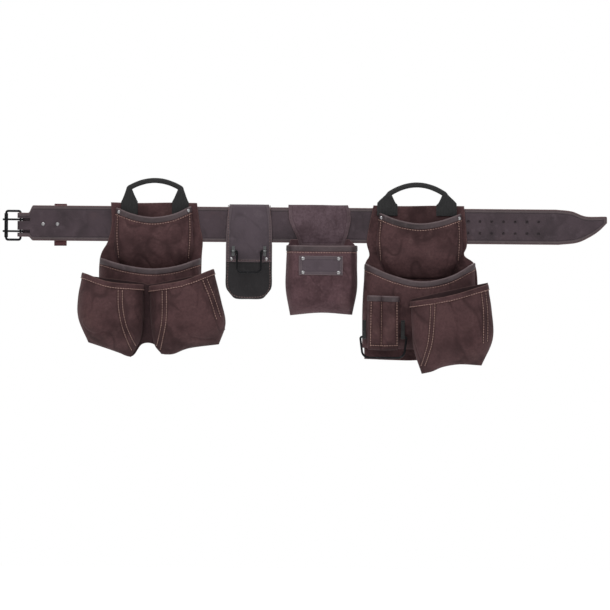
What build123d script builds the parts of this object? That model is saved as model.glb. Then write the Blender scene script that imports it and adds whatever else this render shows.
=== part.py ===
from build123d import *
import os

# Carpenter's tool belt: a straight double-prong belt carrying two pouch bags, a hammer holder
# and a tape pouch.  Millimetres.  X runs along the belt (buckle at -X, tip at +X), Z is up, and
# the wearer stands on the +Y side.  The origin is in the middle of the strap's back face.

# ---------------------------------------------------------------- driving dimensions
belt_width = 76.2
belt_thickness = 4.0
strap_shoulder_x = -590.0        # where the full width steps down to the buckle neck
strap_tip_x = 650.0
tip_taper_x = 540.0              # where the tip starts to narrow
tip_top_z = 24.0
tip_bottom_z = 7.0
belt_clearance = 0.5             # between the strap and every loop it runs through

hole_radius = 2.8
hole_pitch = 25.4
hole_count = 7
first_hole_x = 350.0
hole_rows_z = -2.0               # middle of the two rows
prong_spacing = 25.4

buckle_wire_radius = 2.5
buckle_height = 62.0             # between the wire centres
buckle_reach = 31.0              # hinge bar to outer bar
buckle_corner = 4.5
buckle_bar_x = -617.0
buckle_drop = 5.5                # the buckle hangs this far below the strap's middle
neck_width = 52.0
neck_drop = 4.0
fold_clearance = 0.4
chape_length = 65.0              # strap folded back behind itself, from the hinge bar
prong_slot_reach = 20.0
roller_radius = 4.0
running_clearance = 0.05
prong_width = 4.2
prong_thickness = 3.4
prong_overhang = 6.0             # prong tip beyond the outer bar's centre

keeper_x = -530.5
keeper_width = 27.0
keeper_over = 3.9                # keeper beyond the strap's top edge
keeper_under = 10.9
keeper_leather = 2.6
keeper_gap = 7.0                 # room for the belt's free end

panel_thickness = 3.0
suede = 2.4
binding_width = 11.0
binding_thickness = 1.4
tunnel_thickness = 3.0
rivet_radius = 4.2
rivet_head = 1.5
rivet_shank = 1.6

upper_depth = 26.0               # mouth depth of each bag's upper pocket
middle_depth = 44.0
nail_depth = 56.0
tool_slot_depth = 18.0
tape_depth = 52.0

left_bag_x = -330.0
right_bag_x = 250.0
holder_x = -123.0
tape_x = 34.0

webbing_thickness = 2.4
grip_radius = 5.0
handle_gap = 0.3                 # between a handle's hinged edge and its sewn feet
loop_wire_radius = 2.3
holder_width = 100.0
holder_leather = 3.5
holder_loop_length = 60.0
holder_loop_tilt = 40.0          # degrees forward of hanging straight down

# ---------------------------------------------------------------- shared levels
half_belt = belt_width / 2
drawn_half_belt = 38.1           # outlines and levels below are drawn for this belt
front_of_belt = -belt_thickness - belt_clearance      # rear face of every panel worn on the belt
panel_front = front_of_belt - panel_thickness
tunnel_front = belt_clearance
belt_edge = half_belt + belt_clearance
nail_panel_back = panel_front - middle_depth
nail_panel_front = nail_panel_back - suede
loop_rear = tunnel_front + tunnel_thickness
tunnel_top_z = belt_edge + 3.4
tunnel_bottom_z = -belt_edge - 5.4
loop_top_z = belt_edge + 5.4     # holder and tape pouch
hinge_z = half_belt + 9.9        # fold line of both handles
handle_y = panel_front - webbing_thickness / 2

os.makedirs("parts", exist_ok=True)


# ---------------------------------------------------------------- helpers
def save(solid, name):
    export_step(solid, f"parts/{name}.step")


def level(z):
    """Height drawn for the standard belt, moved outward for a wider one."""
    growth = half_belt - drawn_half_belt
    return z + growth if z > 0 else z - growth


def placed(points, centre_x):
    """Outline drawn about a bag's own middle, set in its place on the belt."""
    return [(x + centre_x, level(z)) for x, z in points]


def outline(points, radius=0.0):
    """Closed face in the front view from corner points, its corners rounded."""
    path = Polyline(*points, close=True)
    face = make_face(path)
    if radius > 0:
        face = fillet(face.vertices(), radius)
    return face


def sheet(face, back_y, thickness):
    """Front-view face made solid from back_y towards the front."""
    return extrude(Plane.XZ.offset(-back_y) * face, thickness)


def block(x0, x1, y0, y1, z0, z1):
    centre = Pos((x0 + x1) / 2, (y0 + y1) / 2, (z0 + z1) / 2)
    return centre * Box(abs(x1 - x0), abs(y1 - y0), abs(z1 - z0))


def side_profile(points, x0, x1):
    """Face drawn in (Y, Z) and made solid between x0 and x1."""
    face = make_face(Polyline(*points, close=True))
    return extrude(Plane.YZ.offset(x0) * face, x1 - x0)


def above(mouth, lift):
    """Region over a mouth curve given as left, middle and right points."""
    left, middle, right = mouth
    top = max(point[1] for point in mouth) + lift
    edges = [
        ThreePointArc(left, middle, right),
        Line(right, (right[0], top)),
        Line((right[0], top), (left[0], top)),
        Line((left[0], top), left),
    ]
    return make_face(edges)


def widened(mouth, margin):
    """Mouth curve carried straight on past its two ends."""
    left, middle, right = mouth
    return (left[0] - margin, left[1]), middle, (right[0] + margin, right[1])


def pocket_prism(walls, mouth, lift, radius):
    """Front view of a pocket carried up past its mouth."""
    left, _, right = mouth
    top = max(left[1], right[1]) + lift
    points = [(left[0], top)] + walls + [(right[0], top)]
    face = make_face(Polyline(*points, close=True))
    corners = [v for v in face.vertices() if v.Y < min(left[1], right[1])]
    return fillet(corners, radius)


def pocket(walls, mouth, back_y, depth, belly_z, bottom_z, toe_depth, wall, radius=9.0):
    """Open-topped pocket: front, sides and bottom, open at the back against its panel.

    The front hangs straight down to belly_z and then slopes in to toe_depth at bottom_z.
    """
    lift = 4 * wall
    belly_z = level(belly_z)
    bottom_z = level(bottom_z)
    left, _, right = mouth
    top = max(left[1], right[1]) + lift
    face = pocket_prism(walls, mouth, lift, radius)
    x0 = min(point[0] for point in walls) - lift
    x1 = max(point[0] for point in walls) + lift

    def wedge(inset, rear):
        front = back_y - depth + inset
        toe = back_y - toe_depth + inset
        return side_profile(
            [(rear, top), (front, top), (front, belly_z), (toe, bottom_z), (rear, bottom_z)], x0, x1)

    outer = sheet(face, back_y, depth) & wedge(0, back_y)
    hollow = sheet(offset(face, -wall), back_y + wall, depth + wall) & wedge(wall, back_y + wall)
    cut = sheet(above(widened(mouth, lift), 3 * lift), back_y + wall, depth + 2 * wall)
    return (outer - hollow - cut).solid()


def binding(walls, mouth, front_y, radius=9.0):
    """Leather band along a pocket's mouth, on its front."""
    face = pocket_prism(walls, mouth, 4 * suede, radius)
    lowered = [(x, z - binding_width) for x, z in widened(mouth, suede)]
    band = face & above(lowered, 6 * binding_width)
    band = band - above(widened(mouth, 4 * suede), 6 * binding_width)
    return sheet(band, front_y, binding_thickness).solid()


def rivets(points, front_y, reach):
    """Domed rivets: a head on the front and a shank into the leather behind."""
    group = []
    for x, z in points:
        head = Plane.XZ.offset(-front_y) * Circle(rivet_radius)
        stud = extrude(head, rivet_head)
        stud = fillet(stud.faces().sort_by(Axis.Y)[0].edges(), rivet_head * 0.6)
        shank = extrude(Plane.XZ.offset(-front_y - reach) * Circle(rivet_shank), reach)
        group.append(Pos(x, 0, z) * (stud + shank))
    return Compound(group)


def tunnel(x0, x1):
    """Strip behind the strap, joined to the panel over and under it."""
    strip = block(x0, x1, tunnel_front, loop_rear, tunnel_bottom_z, tunnel_top_z)
    over = block(x0, x1, front_of_belt, loop_rear, belt_edge, tunnel_top_z)
    under = block(x0, x1, front_of_belt, loop_rear, tunnel_bottom_z, -belt_edge)
    return (strip + over + under).solid()


def foot_ends(centre_x, foot_span, foot_width, side):
    """Inner and outer edge of one handle foot."""
    outer = centre_x + side * foot_span / 2
    return outer - side * foot_width, outer


def handle(centre_x, foot_span, foot_width, grip_span, height, rise):
    """Webbing grip: a round middle on an arch, flaring to two feet with rounded hinge edges."""
    apex_z = hinge_z + height
    merge = 3.0
    start = (centre_x - grip_span / 2, 0, apex_z)
    crown = (centre_x, 0, apex_z + rise)
    finish = (centre_x + grip_span / 2, 0, apex_z)
    path = ThreePointArc(start, crown, finish)
    whole = sweep(Plane(start, z_dir=path % 0) * Circle(grip_radius), path=path)
    for side in (-1, 1):
        apex_x = centre_x + side * grip_span / 2
        inner, outer = foot_ends(centre_x, foot_span, foot_width, side)
        points = [(inner, hinge_z), (outer, hinge_z), (apex_x + side * grip_radius, apex_z + merge),
                  (apex_x - side * grip_radius, apex_z + merge)]
        edge = Plane.YZ.offset(min(inner, outer)) * Pos(0, hinge_z) * Circle(webbing_thickness / 2)
        whole = whole + sheet(outline(points), webbing_thickness / 2, webbing_thickness)
        whole = whole + extrude(edge, foot_width)
    return (Pos(0, handle_y, 0) * whole).solid()


def handle_feet(centre_x, foot_span, foot_width, low_z):
    """Webbing ends sewn to the panel, inside the upper pocket's mouth."""
    group = []
    top = hinge_z - webbing_thickness / 2 - handle_gap
    for side in (-1, 1):
        inner, outer = foot_ends(centre_x, foot_span, foot_width, side)
        group.append(block(inner, outer, panel_front, panel_front - webbing_thickness, level(low_z), top))
    return Compound(group)


# ---------------------------------------------------------------- strap, keeper and rivets
def make_strap():
    neck_top = neck_width / 2 - neck_drop
    neck_bottom = -neck_width / 2 - neck_drop
    shoulder = 10.0
    neck_end = buckle_bar_x
    mid_tip = ((tip_taper_x + strap_tip_x) / 2 + 15, (-half_belt + tip_bottom_z) / 2 - 7)
    top_end = strap_tip_x - 46
    edges = [
        Line((neck_end, neck_top), (strap_shoulder_x - shoulder, neck_top)),
        Line((strap_shoulder_x - shoulder, neck_top), (strap_shoulder_x, half_belt)),
        Line((strap_shoulder_x, half_belt), (tip_taper_x, half_belt)),
        ThreePointArc((tip_taper_x, half_belt), ((tip_taper_x + top_end) / 2 + 4, half_belt - 4.5),
                      (top_end, tip_top_z)),
        Line((top_end, tip_top_z), (strap_tip_x, tip_top_z)),
        Line((strap_tip_x, tip_top_z), (strap_tip_x, tip_bottom_z)),
        ThreePointArc((strap_tip_x, tip_bottom_z), mid_tip, (tip_taper_x + 6, -half_belt)),
        Line((tip_taper_x + 6, -half_belt), (strap_shoulder_x, -half_belt)),
        Line((strap_shoulder_x, -half_belt), (strap_shoulder_x - shoulder, neck_bottom)),
        Line((strap_shoulder_x - shoulder, neck_bottom), (neck_end, neck_bottom)),
        Line((neck_end, neck_bottom), (neck_end, neck_top)),
    ]
    strap = sheet(make_face(edges), 0, belt_thickness)
    chape = block(buckle_bar_x, buckle_bar_x + chape_length, 0, belt_thickness, neck_bottom, neck_top)

    inner_radius = buckle_wire_radius + fold_clearance
    outer_radius = inner_radius + belt_thickness
    flare = 22.0
    point = 12.0
    outer = make_face(Polyline((buckle_bar_x, -outer_radius), (buckle_bar_x + flare, -belt_thickness),
                               (buckle_bar_x + flare, belt_thickness), (buckle_bar_x, outer_radius),
                               close=True))
    outer = outer + Pos(buckle_bar_x, 0) * Circle(outer_radius)
    inner = make_face(Polyline((buckle_bar_x, -inner_radius), (buckle_bar_x + point, 0),
                               (buckle_bar_x, inner_radius), close=True))
    inner = inner + Pos(buckle_bar_x, 0) * Circle(inner_radius)
    fold = extrude(Plane.XY.offset(neck_bottom) * outer, neck_width)
    strap = strap + chape + fold
    strap = strap - extrude(Plane.XY.offset(neck_bottom - 1) * inner, neck_width + 2)
    for side in (-1, 1):
        prong_z = side * prong_spacing / 2 - buckle_drop
        slot = prong_width / 2 + 1.0
        strap = strap - block(buckle_bar_x - 2 * outer_radius, buckle_bar_x + prong_slot_reach,
                              -2 * outer_radius, 2 * outer_radius, prong_z - slot, prong_z + slot)
        for i in range(hole_count):
            hole_x = first_hole_x + i * hole_pitch
            hole = Plane.XZ * Pos(hole_x, side * prong_spacing / 2 + hole_rows_z) * Circle(hole_radius)
            strap = strap - extrude(hole, 2 * belt_thickness, both=True)
    return strap.solid()


def make_keeper():
    top_z = half_belt + keeper_over
    bottom_z = -half_belt - keeper_under
    front = block(keeper_x - keeper_width / 2, keeper_x + keeper_width / 2,
                  0, 2 * keeper_leather + keeper_gap, bottom_z, top_z)
    room = block(keeper_x - keeper_width, keeper_x + keeper_width, keeper_leather,
                 keeper_leather + keeper_gap,
                 bottom_z + keeper_leather, top_z - keeper_leather)
    edges = (front - room).edges().filter_by(Axis.X)
    corners = [e for e in edges if abs(e.center().Y - keeper_leather - keeper_gap / 2) > keeper_gap / 2 + 1]
    return fillet(corners, 1.8).solid()


chape_rivet_x = buckle_bar_x + 49.0
save(make_strap(), "belt_strap")
save(make_keeper(), "keeper_loop")
save(rivets([(chape_rivet_x, -2), (keeper_x - 6.5, -2)], -belt_thickness, belt_thickness + keeper_leather),
     "belt_rivets")


# ---------------------------------------------------------------- buckle
def make_buckle_frame():
    half = buckle_height / 2
    left = buckle_bar_x - buckle_reach
    path = FilletPolyline((left, 0, -half - buckle_drop), (buckle_bar_x, 0, -half - buckle_drop),
                          (buckle_bar_x, 0, half - buckle_drop), (left, 0, half - buckle_drop),
                          radius=buckle_corner, close=True)
    start = path @ 0
    section = Plane(start, z_dir=path % 0) * Circle(buckle_wire_radius)
    return sweep(section, path=path).solid()


def make_roller():
    length = buckle_height - 2 * buckle_corner - 1.0
    tube = Circle(roller_radius) - Circle(buckle_wire_radius + running_clearance)
    place = Plane.XY.offset(-buckle_drop - length / 2)
    return extrude(place * Pos(buckle_bar_x - buckle_reach, 0) * tube, length).solid()


def make_prong(side):
    bore = buckle_wire_radius + running_clearance
    ring = bore + 2.0
    tip_x = buckle_bar_x - buckle_reach - prong_overhang
    rest_y = -roller_radius - 0.3
    points = [
        (buckle_bar_x - 1.0, -ring + 0.2),
        (tip_x, rest_y - prong_thickness),
        (tip_x - 1.5, rest_y - prong_thickness / 2),
        (tip_x, rest_y),
        (buckle_bar_x - buckle_reach + roller_radius, rest_y),
        (buckle_bar_x - 2.0, 1.2),
    ]
    plan = make_face(Polyline(*points, close=True)) + Pos(buckle_bar_x, 0) * Circle(ring)
    plan = plan - Pos(buckle_bar_x, 0) * Circle(bore)
    centre_z = side * prong_spacing / 2 - buckle_drop
    return extrude(Plane.XY.offset(centre_z - prong_width / 2) * plan, prong_width).solid()


save(make_buckle_frame(), "buckle_frame")
save(make_roller(), "buckle_roller")
save(make_prong(1), "buckle_prong_upper")
save(make_prong(-1), "buckle_prong_lower")

# ---------------------------------------------------------------- left bag
left_panel = placed([(-92, 46), (94, 46), (100, 0), (107, -35), (104, -76), (102, -250),
                      (-114, -250), (-116, -76), (-98, -38), (-90, 0)], left_bag_x)
save(sheet(outline(left_panel, 6), front_of_belt, panel_thickness).solid(), "left_bag_back_panel")
save(tunnel(left_bag_x - 86, left_bag_x + 88), "left_bag_tunnel")

left_upper_mouth = placed([(-80, 33), (-1, 13), (81, 37)], left_bag_x)
left_upper_walls = placed([(-84, -60), (-58, -112), (58, -112), (86, -60)], left_bag_x)
save(pocket(left_upper_walls, left_upper_mouth, panel_front, upper_depth, -50, -112, 10, suede),
     "left_bag_upper_pocket")
save(binding(left_upper_walls, left_upper_mouth, panel_front - upper_depth), "left_bag_upper_binding")

left_middle_mouth = placed([(-114, -76), (-4, -99), (102, -75)], left_bag_x)
left_middle_walls = placed([(-112, -243), (100, -243)], left_bag_x)
save(pocket(left_middle_walls, left_middle_mouth, panel_front, middle_depth, -243, -244, middle_depth,
            suede),
     "left_bag_middle_pocket")
save(binding(left_middle_walls, left_middle_mouth, panel_front - middle_depth), "left_bag_middle_binding")

left_nail_mouth = placed([(-152, -108), (-95, -127), (-21, -133)], left_bag_x)
left_nail_walls = placed([(-162, -186), (-158, -226), (-138, -259), (-90, -272), (-46, -290), (-23, -251)],
                          left_bag_x)
right_nail_mouth = placed([(-7, -136), (66, -123), (131, -98)], left_bag_x)
right_nail_walls = placed([(3, -258), (28, -285), (80, -268), (143, -259), (156, -218), (146, -164)],
                          left_bag_x)
nail_panel = placed([(-152, -112), (-84, -130), (-21, -137), (-7, -140), (66, -127), (131, -102),
                     (146, -164),
                      (156, -218), (143, -258), (80, -267), (28, -283), (4, -256), (-22, -256), (-46, -288),
                      (-90, -271), (-138, -258), (-158, -226), (-162, -186)], left_bag_x)
save(sheet(outline(nail_panel, 3), nail_panel_back, suede).solid(), "left_bag_nail_panel")
nail_pockets = {"left": (left_nail_walls, left_nail_mouth), "right": (right_nail_walls, right_nail_mouth)}
for side, (walls, mouth) in nail_pockets.items():
    save(pocket(walls, mouth, nail_panel_front, nail_depth, -215, -292, 34, suede, 6),
         f"left_bag_nail_pocket_{side}")
    save(binding(walls, mouth, nail_panel_front - nail_depth, 6), f"left_bag_nail_binding_{side}")

save(rivets(placed([(-73, 25), (74, 29)], left_bag_x), panel_front - upper_depth - binding_thickness, 3),
     "left_bag_rivets")
save(handle_feet(left_bag_x + 3, 146, 34, 20), "left_bag_handle_feet")
save(handle(left_bag_x + 3, 146, 34, 112, 29, 17), "left_bag_handle")

# ---------------------------------------------------------------- hammer holder
holder_front_y = front_of_belt - holder_leather
holder_left = holder_x - holder_width / 2
holder_right = holder_x + holder_width / 2
holder_bottom_z = level(-161)
holder_front_bottom_z = level(-81)
loop_rear_bottom_z = level(-62)
loop_inset = 7.0                 # rear of a belt loop is this much narrower on each side
seam_drop = 4.0                  # a sewn-on plate starts this far under the belt


def make_holder_loop():
    face = outline([(holder_left, holder_front_bottom_z), (holder_left + 2, level(10)),
                    (holder_left + 6, loop_top_z), (holder_right - 6, loop_top_z),
                    (holder_right - 2, level(10)), (holder_right, holder_front_bottom_z)], 5)
    front = sheet(face, front_of_belt, holder_leather)
    over = block(holder_left + loop_inset, holder_right - loop_inset, front_of_belt, loop_rear,
                 belt_edge, loop_top_z)
    rear = block(holder_left + loop_inset, holder_right - loop_inset, tunnel_front, loop_rear,
                 loop_rear_bottom_z, loop_top_z)
    return (front + over + rear).solid()


def make_backing_plate():
    top = -belt_edge - seam_drop
    cut = 22.0
    face = outline([(holder_left, top), (holder_right, top), (holder_right, holder_bottom_z + cut),
                    (holder_right - cut, holder_bottom_z), (holder_left + cut, holder_bottom_z),
                    (holder_left, holder_bottom_z + cut)], 8)
    return sheet(face, tunnel_front, tunnel_front - front_of_belt).solid()


loop_pin_y = holder_front_y - loop_wire_radius - 0.3
loop_pin_z = level(-57)
clip_offset = 34.0
clip_width = 6.5
clip_height = 22.0
clip_metal = 1.4
loop_leg = 26.0                  # half the steel loop's outside spacing
loop_pin = 13.0                  # each pin's reach beyond its leg


def make_holder_steel_loop():
    end = loop_leg + loop_pin
    path = FilletPolyline((-end, 0, 0), (-loop_leg, 0, 0), (-loop_leg, 0, -holder_loop_length),
                          (loop_leg, 0, -holder_loop_length), (loop_leg, 0, 0), (end, 0, 0),
                          radius=[4.0, 12.0, 12.0, 4.0])
    wire = sweep(Plane(path @ 0, z_dir=path % 0) * Circle(loop_wire_radius), path=path)
    return (Pos(holder_x, loop_pin_y, loop_pin_z) * Rot(-holder_loop_tilt, 0, 0) * wire).solid()


def make_loop_clips():
    group = []
    bore = loop_wire_radius + running_clearance
    for side in (-1, 1):
        x0 = holder_x + side * clip_offset - clip_width / 2
        flange = block(x0, x0 + clip_width, holder_front_y, holder_front_y - clip_metal,
                       loop_pin_z - clip_height / 2, loop_pin_z + clip_height / 2)
        hoop = extrude(Plane.YZ.offset(x0) * Pos(loop_pin_y, loop_pin_z) * Circle(bore + clip_metal),
                       clip_width)
        hoop = hoop - block(x0 - 1, x0 + clip_width + 1, holder_front_y, holder_front_y + 20,
                            loop_pin_z - clip_height, loop_pin_z + clip_height)
        hollow = extrude(Plane.YZ.offset(x0 - 1) * Pos(loop_pin_y, loop_pin_z) * Circle(bore),
                         clip_width + 2)
        group.append((flange + hoop - hollow).solid())
    return Compound(group)


save(make_holder_loop(), "holder_belt_loop")
save(make_backing_plate(), "holder_backing_plate")
save(make_holder_steel_loop(), "holder_steel_loop")
save(make_loop_clips(), "holder_loop_clips")
save(rivets(placed([(-38, -74), (38, -74)], holder_x), holder_front_y, holder_leather + 2), "holder_rivets")

# ---------------------------------------------------------------- tape pouch
tape_mouth_z = -45.0             # drawn level
patch_leather = 2.0


def make_tape_belt_loop():
    face = outline(placed([(-73, 44), (55, 44), (61, 10), (57, tape_mouth_z - 3), (-47, tape_mouth_z - 3),
                            (-72, 8)], tape_x), 5)
    front = sheet(face, front_of_belt, panel_thickness)
    x0 = tape_x - 66
    x1 = tape_x + 48
    over = block(x0, x1, front_of_belt, loop_rear, belt_edge, loop_top_z)
    rear = block(x0, x1, tunnel_front, loop_rear, loop_rear_bottom_z, loop_top_z)
    return (front + over + rear).solid()


tape_walls = placed([(-77, -130), (-67, -197), (0, -189), (67, -194), (77, -130)], tape_x)
tape_mouth = placed([(-75, tape_mouth_z), (0, tape_mouth_z - 0.4), (76, tape_mouth_z)], tape_x)
tape_front = panel_front - tape_depth
tape_panel = placed([(-75, tape_mouth_z - 3), (-77, -130), (-67, -197), (0, -189), (67, -194), (77, -130),
                      (76, tape_mouth_z - 3)], tape_x)
save(make_tape_belt_loop(), "tape_belt_loop")
save(sheet(outline(tape_panel, 3), front_of_belt, panel_thickness).solid(), "tape_back_panel")
save(block(tape_x - 50, tape_x + 50, front_of_belt, tunnel_front, loop_rear_bottom_z,
           -belt_edge - seam_drop),
     "tape_loop_spacer")
save(pocket(tape_walls, tape_mouth, panel_front, tape_depth, -125, -198, 40, suede, 6), "tape_pocket")
save(binding(tape_walls, tape_mouth, tape_front, 6), "tape_binding")
patch = outline(placed([(-49, -66), (46, -66), (46, -108), (-49, -108)], tape_x), 3)
save(sheet(patch, tape_front, patch_leather).solid(), "tape_patch")
save(rivets(placed([(x, z) for x in (-40, 37) for z in (-72, -102)], tape_x), tape_front - patch_leather,
            patch_leather + suede), "tape_rivets")

# ---------------------------------------------------------------- right bag
right_panel = placed([(-105, 44), (91, 44), (97, -38), (90, -64), (117, -80), (123, -116),
                       (118, -272), (-10, -290), (-122, -290), (-124, -84), (-114, -64), (-120, -38)],
                       right_bag_x)
save(sheet(outline(right_panel, 6), front_of_belt, panel_thickness).solid(), "right_bag_back_panel")
save(tunnel(right_bag_x - 106, right_bag_x + 80), "right_bag_tunnel")

right_upper_mouth = placed([(-91, 26), (-4, 4), (84, 26)], right_bag_x)
right_upper_walls = placed([(-97, -60), (-70, -115), (62, -115), (86, -60)], right_bag_x)
save(pocket(right_upper_walls, right_upper_mouth, panel_front, upper_depth, -50, -115, 10, suede),
     "right_bag_upper_pocket")
save(binding(right_upper_walls, right_upper_mouth, panel_front - upper_depth), "right_bag_upper_binding")

right_middle_mouth = placed([(-122, -84), (0, -121), (115, -80)], right_bag_x)
right_middle_walls = placed([(-128, -266), (112, -266)], right_bag_x)
save(pocket(right_middle_walls, right_middle_mouth, panel_front, middle_depth, -266, -267, middle_depth,
            suede),
     "right_bag_middle_pocket")
save(binding(right_middle_walls, right_middle_mouth, panel_front - middle_depth),
     "right_bag_middle_binding")


def make_tool_slots():
    left = right_bag_x - 116
    seam = right_bag_x - 86
    right = right_bag_x - 48
    face = outline([(left, level(-152)), (right, level(-154)), (right, level(-270)),
                    (left, level(-270))], 2)
    body = sheet(face, nail_panel_back, tool_slot_depth)
    for x0, x1 in ((left, seam), (seam, right)):
        room = block(x0 + suede, x1 - suede, nail_panel_back + 1, nail_panel_back - tool_slot_depth + suede,
                     level(-258), level(-140))
        body = body - room
    return body.solid()


save(make_tool_slots(), "right_bag_tool_slots")

big_nail_mouth = placed([(-23, -165), (62, -151), (143, -126)], right_bag_x)
big_nail_walls = placed([(-15, -268), (4, -316), (48, -302), (84, -295), (133, -296), (154, -249),
                         (154, -222)],
                         right_bag_x)
big_nail_panel = placed([(-23, -169), (62, -155), (143, -130), (154, -222), (154, -249), (133, -295),
                         (84, -294),
                          (48, -301), (4, -314), (-15, -268)], right_bag_x)
save(sheet(outline(big_nail_panel, 3), nail_panel_back, suede).solid(), "right_bag_nail_panel")
save(pocket(big_nail_walls, big_nail_mouth, nail_panel_front, nail_depth, -235, -318, 34, suede, 6),
     "right_bag_nail_pocket")
save(binding(big_nail_walls, big_nail_mouth, nail_panel_front - nail_depth, 6), "right_bag_nail_binding")
save(rivets(placed([(-86, 17), (79, 17)], right_bag_x), panel_front - upper_depth - binding_thickness, 3),
     "right_bag_rivets")
save(handle_feet(right_bag_x - 11, 172, 44, 22), "right_bag_handle_feet")
save(handle(right_bag_x - 11, 172, 44, 120, 21, 20), "right_bag_handle")

swing_y = nail_panel_back - 3.0 - loop_wire_radius
swing_z = level(-240)
tab_width = 8.0
tab_length = 36.0
leg_x0 = right_bag_x - 131.5
leg_x1 = right_bag_x - 31.0
trunnion = 13.0


def make_swing_loop():
    drop = 45.0
    path = FilletPolyline((leg_x0 + trunnion, 0, 0), (leg_x0, 0, 0), (leg_x0 + 6, 0, -drop),
                          (leg_x1 - 6, 0, -drop),
                          (leg_x1, 0, 0), (leg_x1 - trunnion, 0, 0), radius=[4.0, 16.0, 16.0, 4.0])
    wire = sweep(Plane(path @ 0, z_dir=path % 0) * Circle(loop_wire_radius), path=path)
    return (Pos(0, swing_y, swing_z) * wire).solid()


def make_loop_tabs():
    group = []
    bore = loop_wire_radius + running_clearance
    for x0 in (leg_x0 + 4.5, leg_x1 - 4.5 - tab_width):
        x1 = x0 + tab_width
        strap = block(x0, x1, nail_panel_back, nail_panel_back - webbing_thickness, swing_z,
                      swing_z + tab_length)
        hoop = extrude(Plane.YZ.offset(x0) * Pos(swing_y, swing_z) * Circle(bore + webbing_thickness),
                       tab_width)
        hoop = hoop - block(x0 - 1, x1 + 1, nail_panel_back, nail_panel_back + 20, swing_z - 20,
                            swing_z + 20)
        hollow = extrude(Plane.YZ.offset(x0 - 1) * Pos(swing_y, swing_z) * Circle(bore), tab_width + 2)
        group.append((strap + hoop - hollow).solid())
    return Compound(group)


save(make_swing_loop(), "right_bag_hammer_loop")
save(make_loop_tabs(), "right_bag_loop_tabs")
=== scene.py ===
import math

import bpy
import bmesh
import numpy as np
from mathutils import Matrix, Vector, kdtree, noise


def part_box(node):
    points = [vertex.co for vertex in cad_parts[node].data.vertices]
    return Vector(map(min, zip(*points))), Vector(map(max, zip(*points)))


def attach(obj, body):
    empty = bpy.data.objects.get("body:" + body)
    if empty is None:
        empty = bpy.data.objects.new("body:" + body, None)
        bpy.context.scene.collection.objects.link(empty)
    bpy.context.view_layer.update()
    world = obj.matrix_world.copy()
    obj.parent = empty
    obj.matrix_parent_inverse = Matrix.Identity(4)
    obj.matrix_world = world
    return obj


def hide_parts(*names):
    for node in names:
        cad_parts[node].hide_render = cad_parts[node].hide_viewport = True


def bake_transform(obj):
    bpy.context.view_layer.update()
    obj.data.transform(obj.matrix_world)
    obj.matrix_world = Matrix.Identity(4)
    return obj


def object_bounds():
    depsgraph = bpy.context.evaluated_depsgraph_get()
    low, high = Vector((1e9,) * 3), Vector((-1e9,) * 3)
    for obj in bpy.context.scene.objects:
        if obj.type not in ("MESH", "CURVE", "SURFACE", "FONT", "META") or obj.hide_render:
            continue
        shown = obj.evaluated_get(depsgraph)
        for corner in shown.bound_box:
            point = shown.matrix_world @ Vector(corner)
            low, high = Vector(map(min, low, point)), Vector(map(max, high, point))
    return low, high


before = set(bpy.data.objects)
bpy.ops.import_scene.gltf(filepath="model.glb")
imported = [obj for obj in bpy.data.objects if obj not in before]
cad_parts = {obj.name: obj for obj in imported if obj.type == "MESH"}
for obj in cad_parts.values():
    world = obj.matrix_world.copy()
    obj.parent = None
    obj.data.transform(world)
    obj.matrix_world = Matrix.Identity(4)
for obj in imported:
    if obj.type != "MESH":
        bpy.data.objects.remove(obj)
cad_low, cad_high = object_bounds()

# ---------------------------------------------------------------- sizes in metres
SUEDE = 0.0024
BINDING_WIDTH = 0.0115
BINDING_PROUD = 0.0014
THREAD = 0.0009
STITCH = 0.0042
STITCH_GAP = 0.0014
WEBBING = 0.0024
BACK_PANEL = 0.0029
NAIL_SHEET = 0.0023
HOLE_RADIUS = 0.0028
HOLE_PITCH = 0.0254
RIVET_INSET = 0.0042


# ---------------------------------------------------------------- camera and studio
def make_camera():
    view_width = 1.318
    distance = 40.0
    camera = bpy.data.cameras.new("camera")
    camera.sensor_width = 36.0
    camera.lens = camera.sensor_width * distance / view_width
    camera.clip_end = 200.0
    holder = bpy.data.objects.new("camera", camera)
    bpy.context.scene.collection.objects.link(holder)
    holder.location = (-0.001, -distance, -0.1725)
    belt_slope = math.radians(0.48)
    holder.rotation_euler = (math.pi / 2, -belt_slope, 0)
    bpy.context.scene.camera = holder


def area_light(name, place, target, size, power):
    lamp = bpy.data.lights.new(name, "AREA")
    lamp.size = size
    lamp.energy = power
    holder = bpy.data.objects.new(name, lamp)
    bpy.context.scene.collection.objects.link(holder)
    holder.location = place
    holder.rotation_euler = (Vector(target) - Vector(place)).to_track_quat("-Z", "Y").to_euler()


def make_studio():
    world = bpy.data.worlds.new("studio")
    bpy.context.scene.world = world
    world.use_nodes = True
    tree = world.node_tree
    background = tree.nodes["Background"]
    seen = add(tree, "ShaderNodeLightPath").outputs["Is Camera Ray"]
    tree.links.new(ranged(tree, seen, 0.42, 1.0), background.inputs["Strength"])
    background.inputs["Color"].default_value = (1, 1, 1, 1)
    bpy.context.scene.view_settings.view_transform = "Standard"
    area_light("key", (-1.2, -2.4, 3.0), (0, 0, -0.1), 1.5, 62)
    area_light("fill", (2.4, -3.0, 1.2), (0, 0, -0.1), 2.0, 22)
    area_light("rear", (0.4, 3.0, 2.4), (0, 0, -0.1), 2.0, 40)


def make_floor(material):
    bpy.ops.mesh.primitive_plane_add(size=24, location=(0, 0, cad_low.z - 0.6))
    floor = bpy.context.object
    floor.name = "floor"
    floor.data.materials.append(material)


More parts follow.
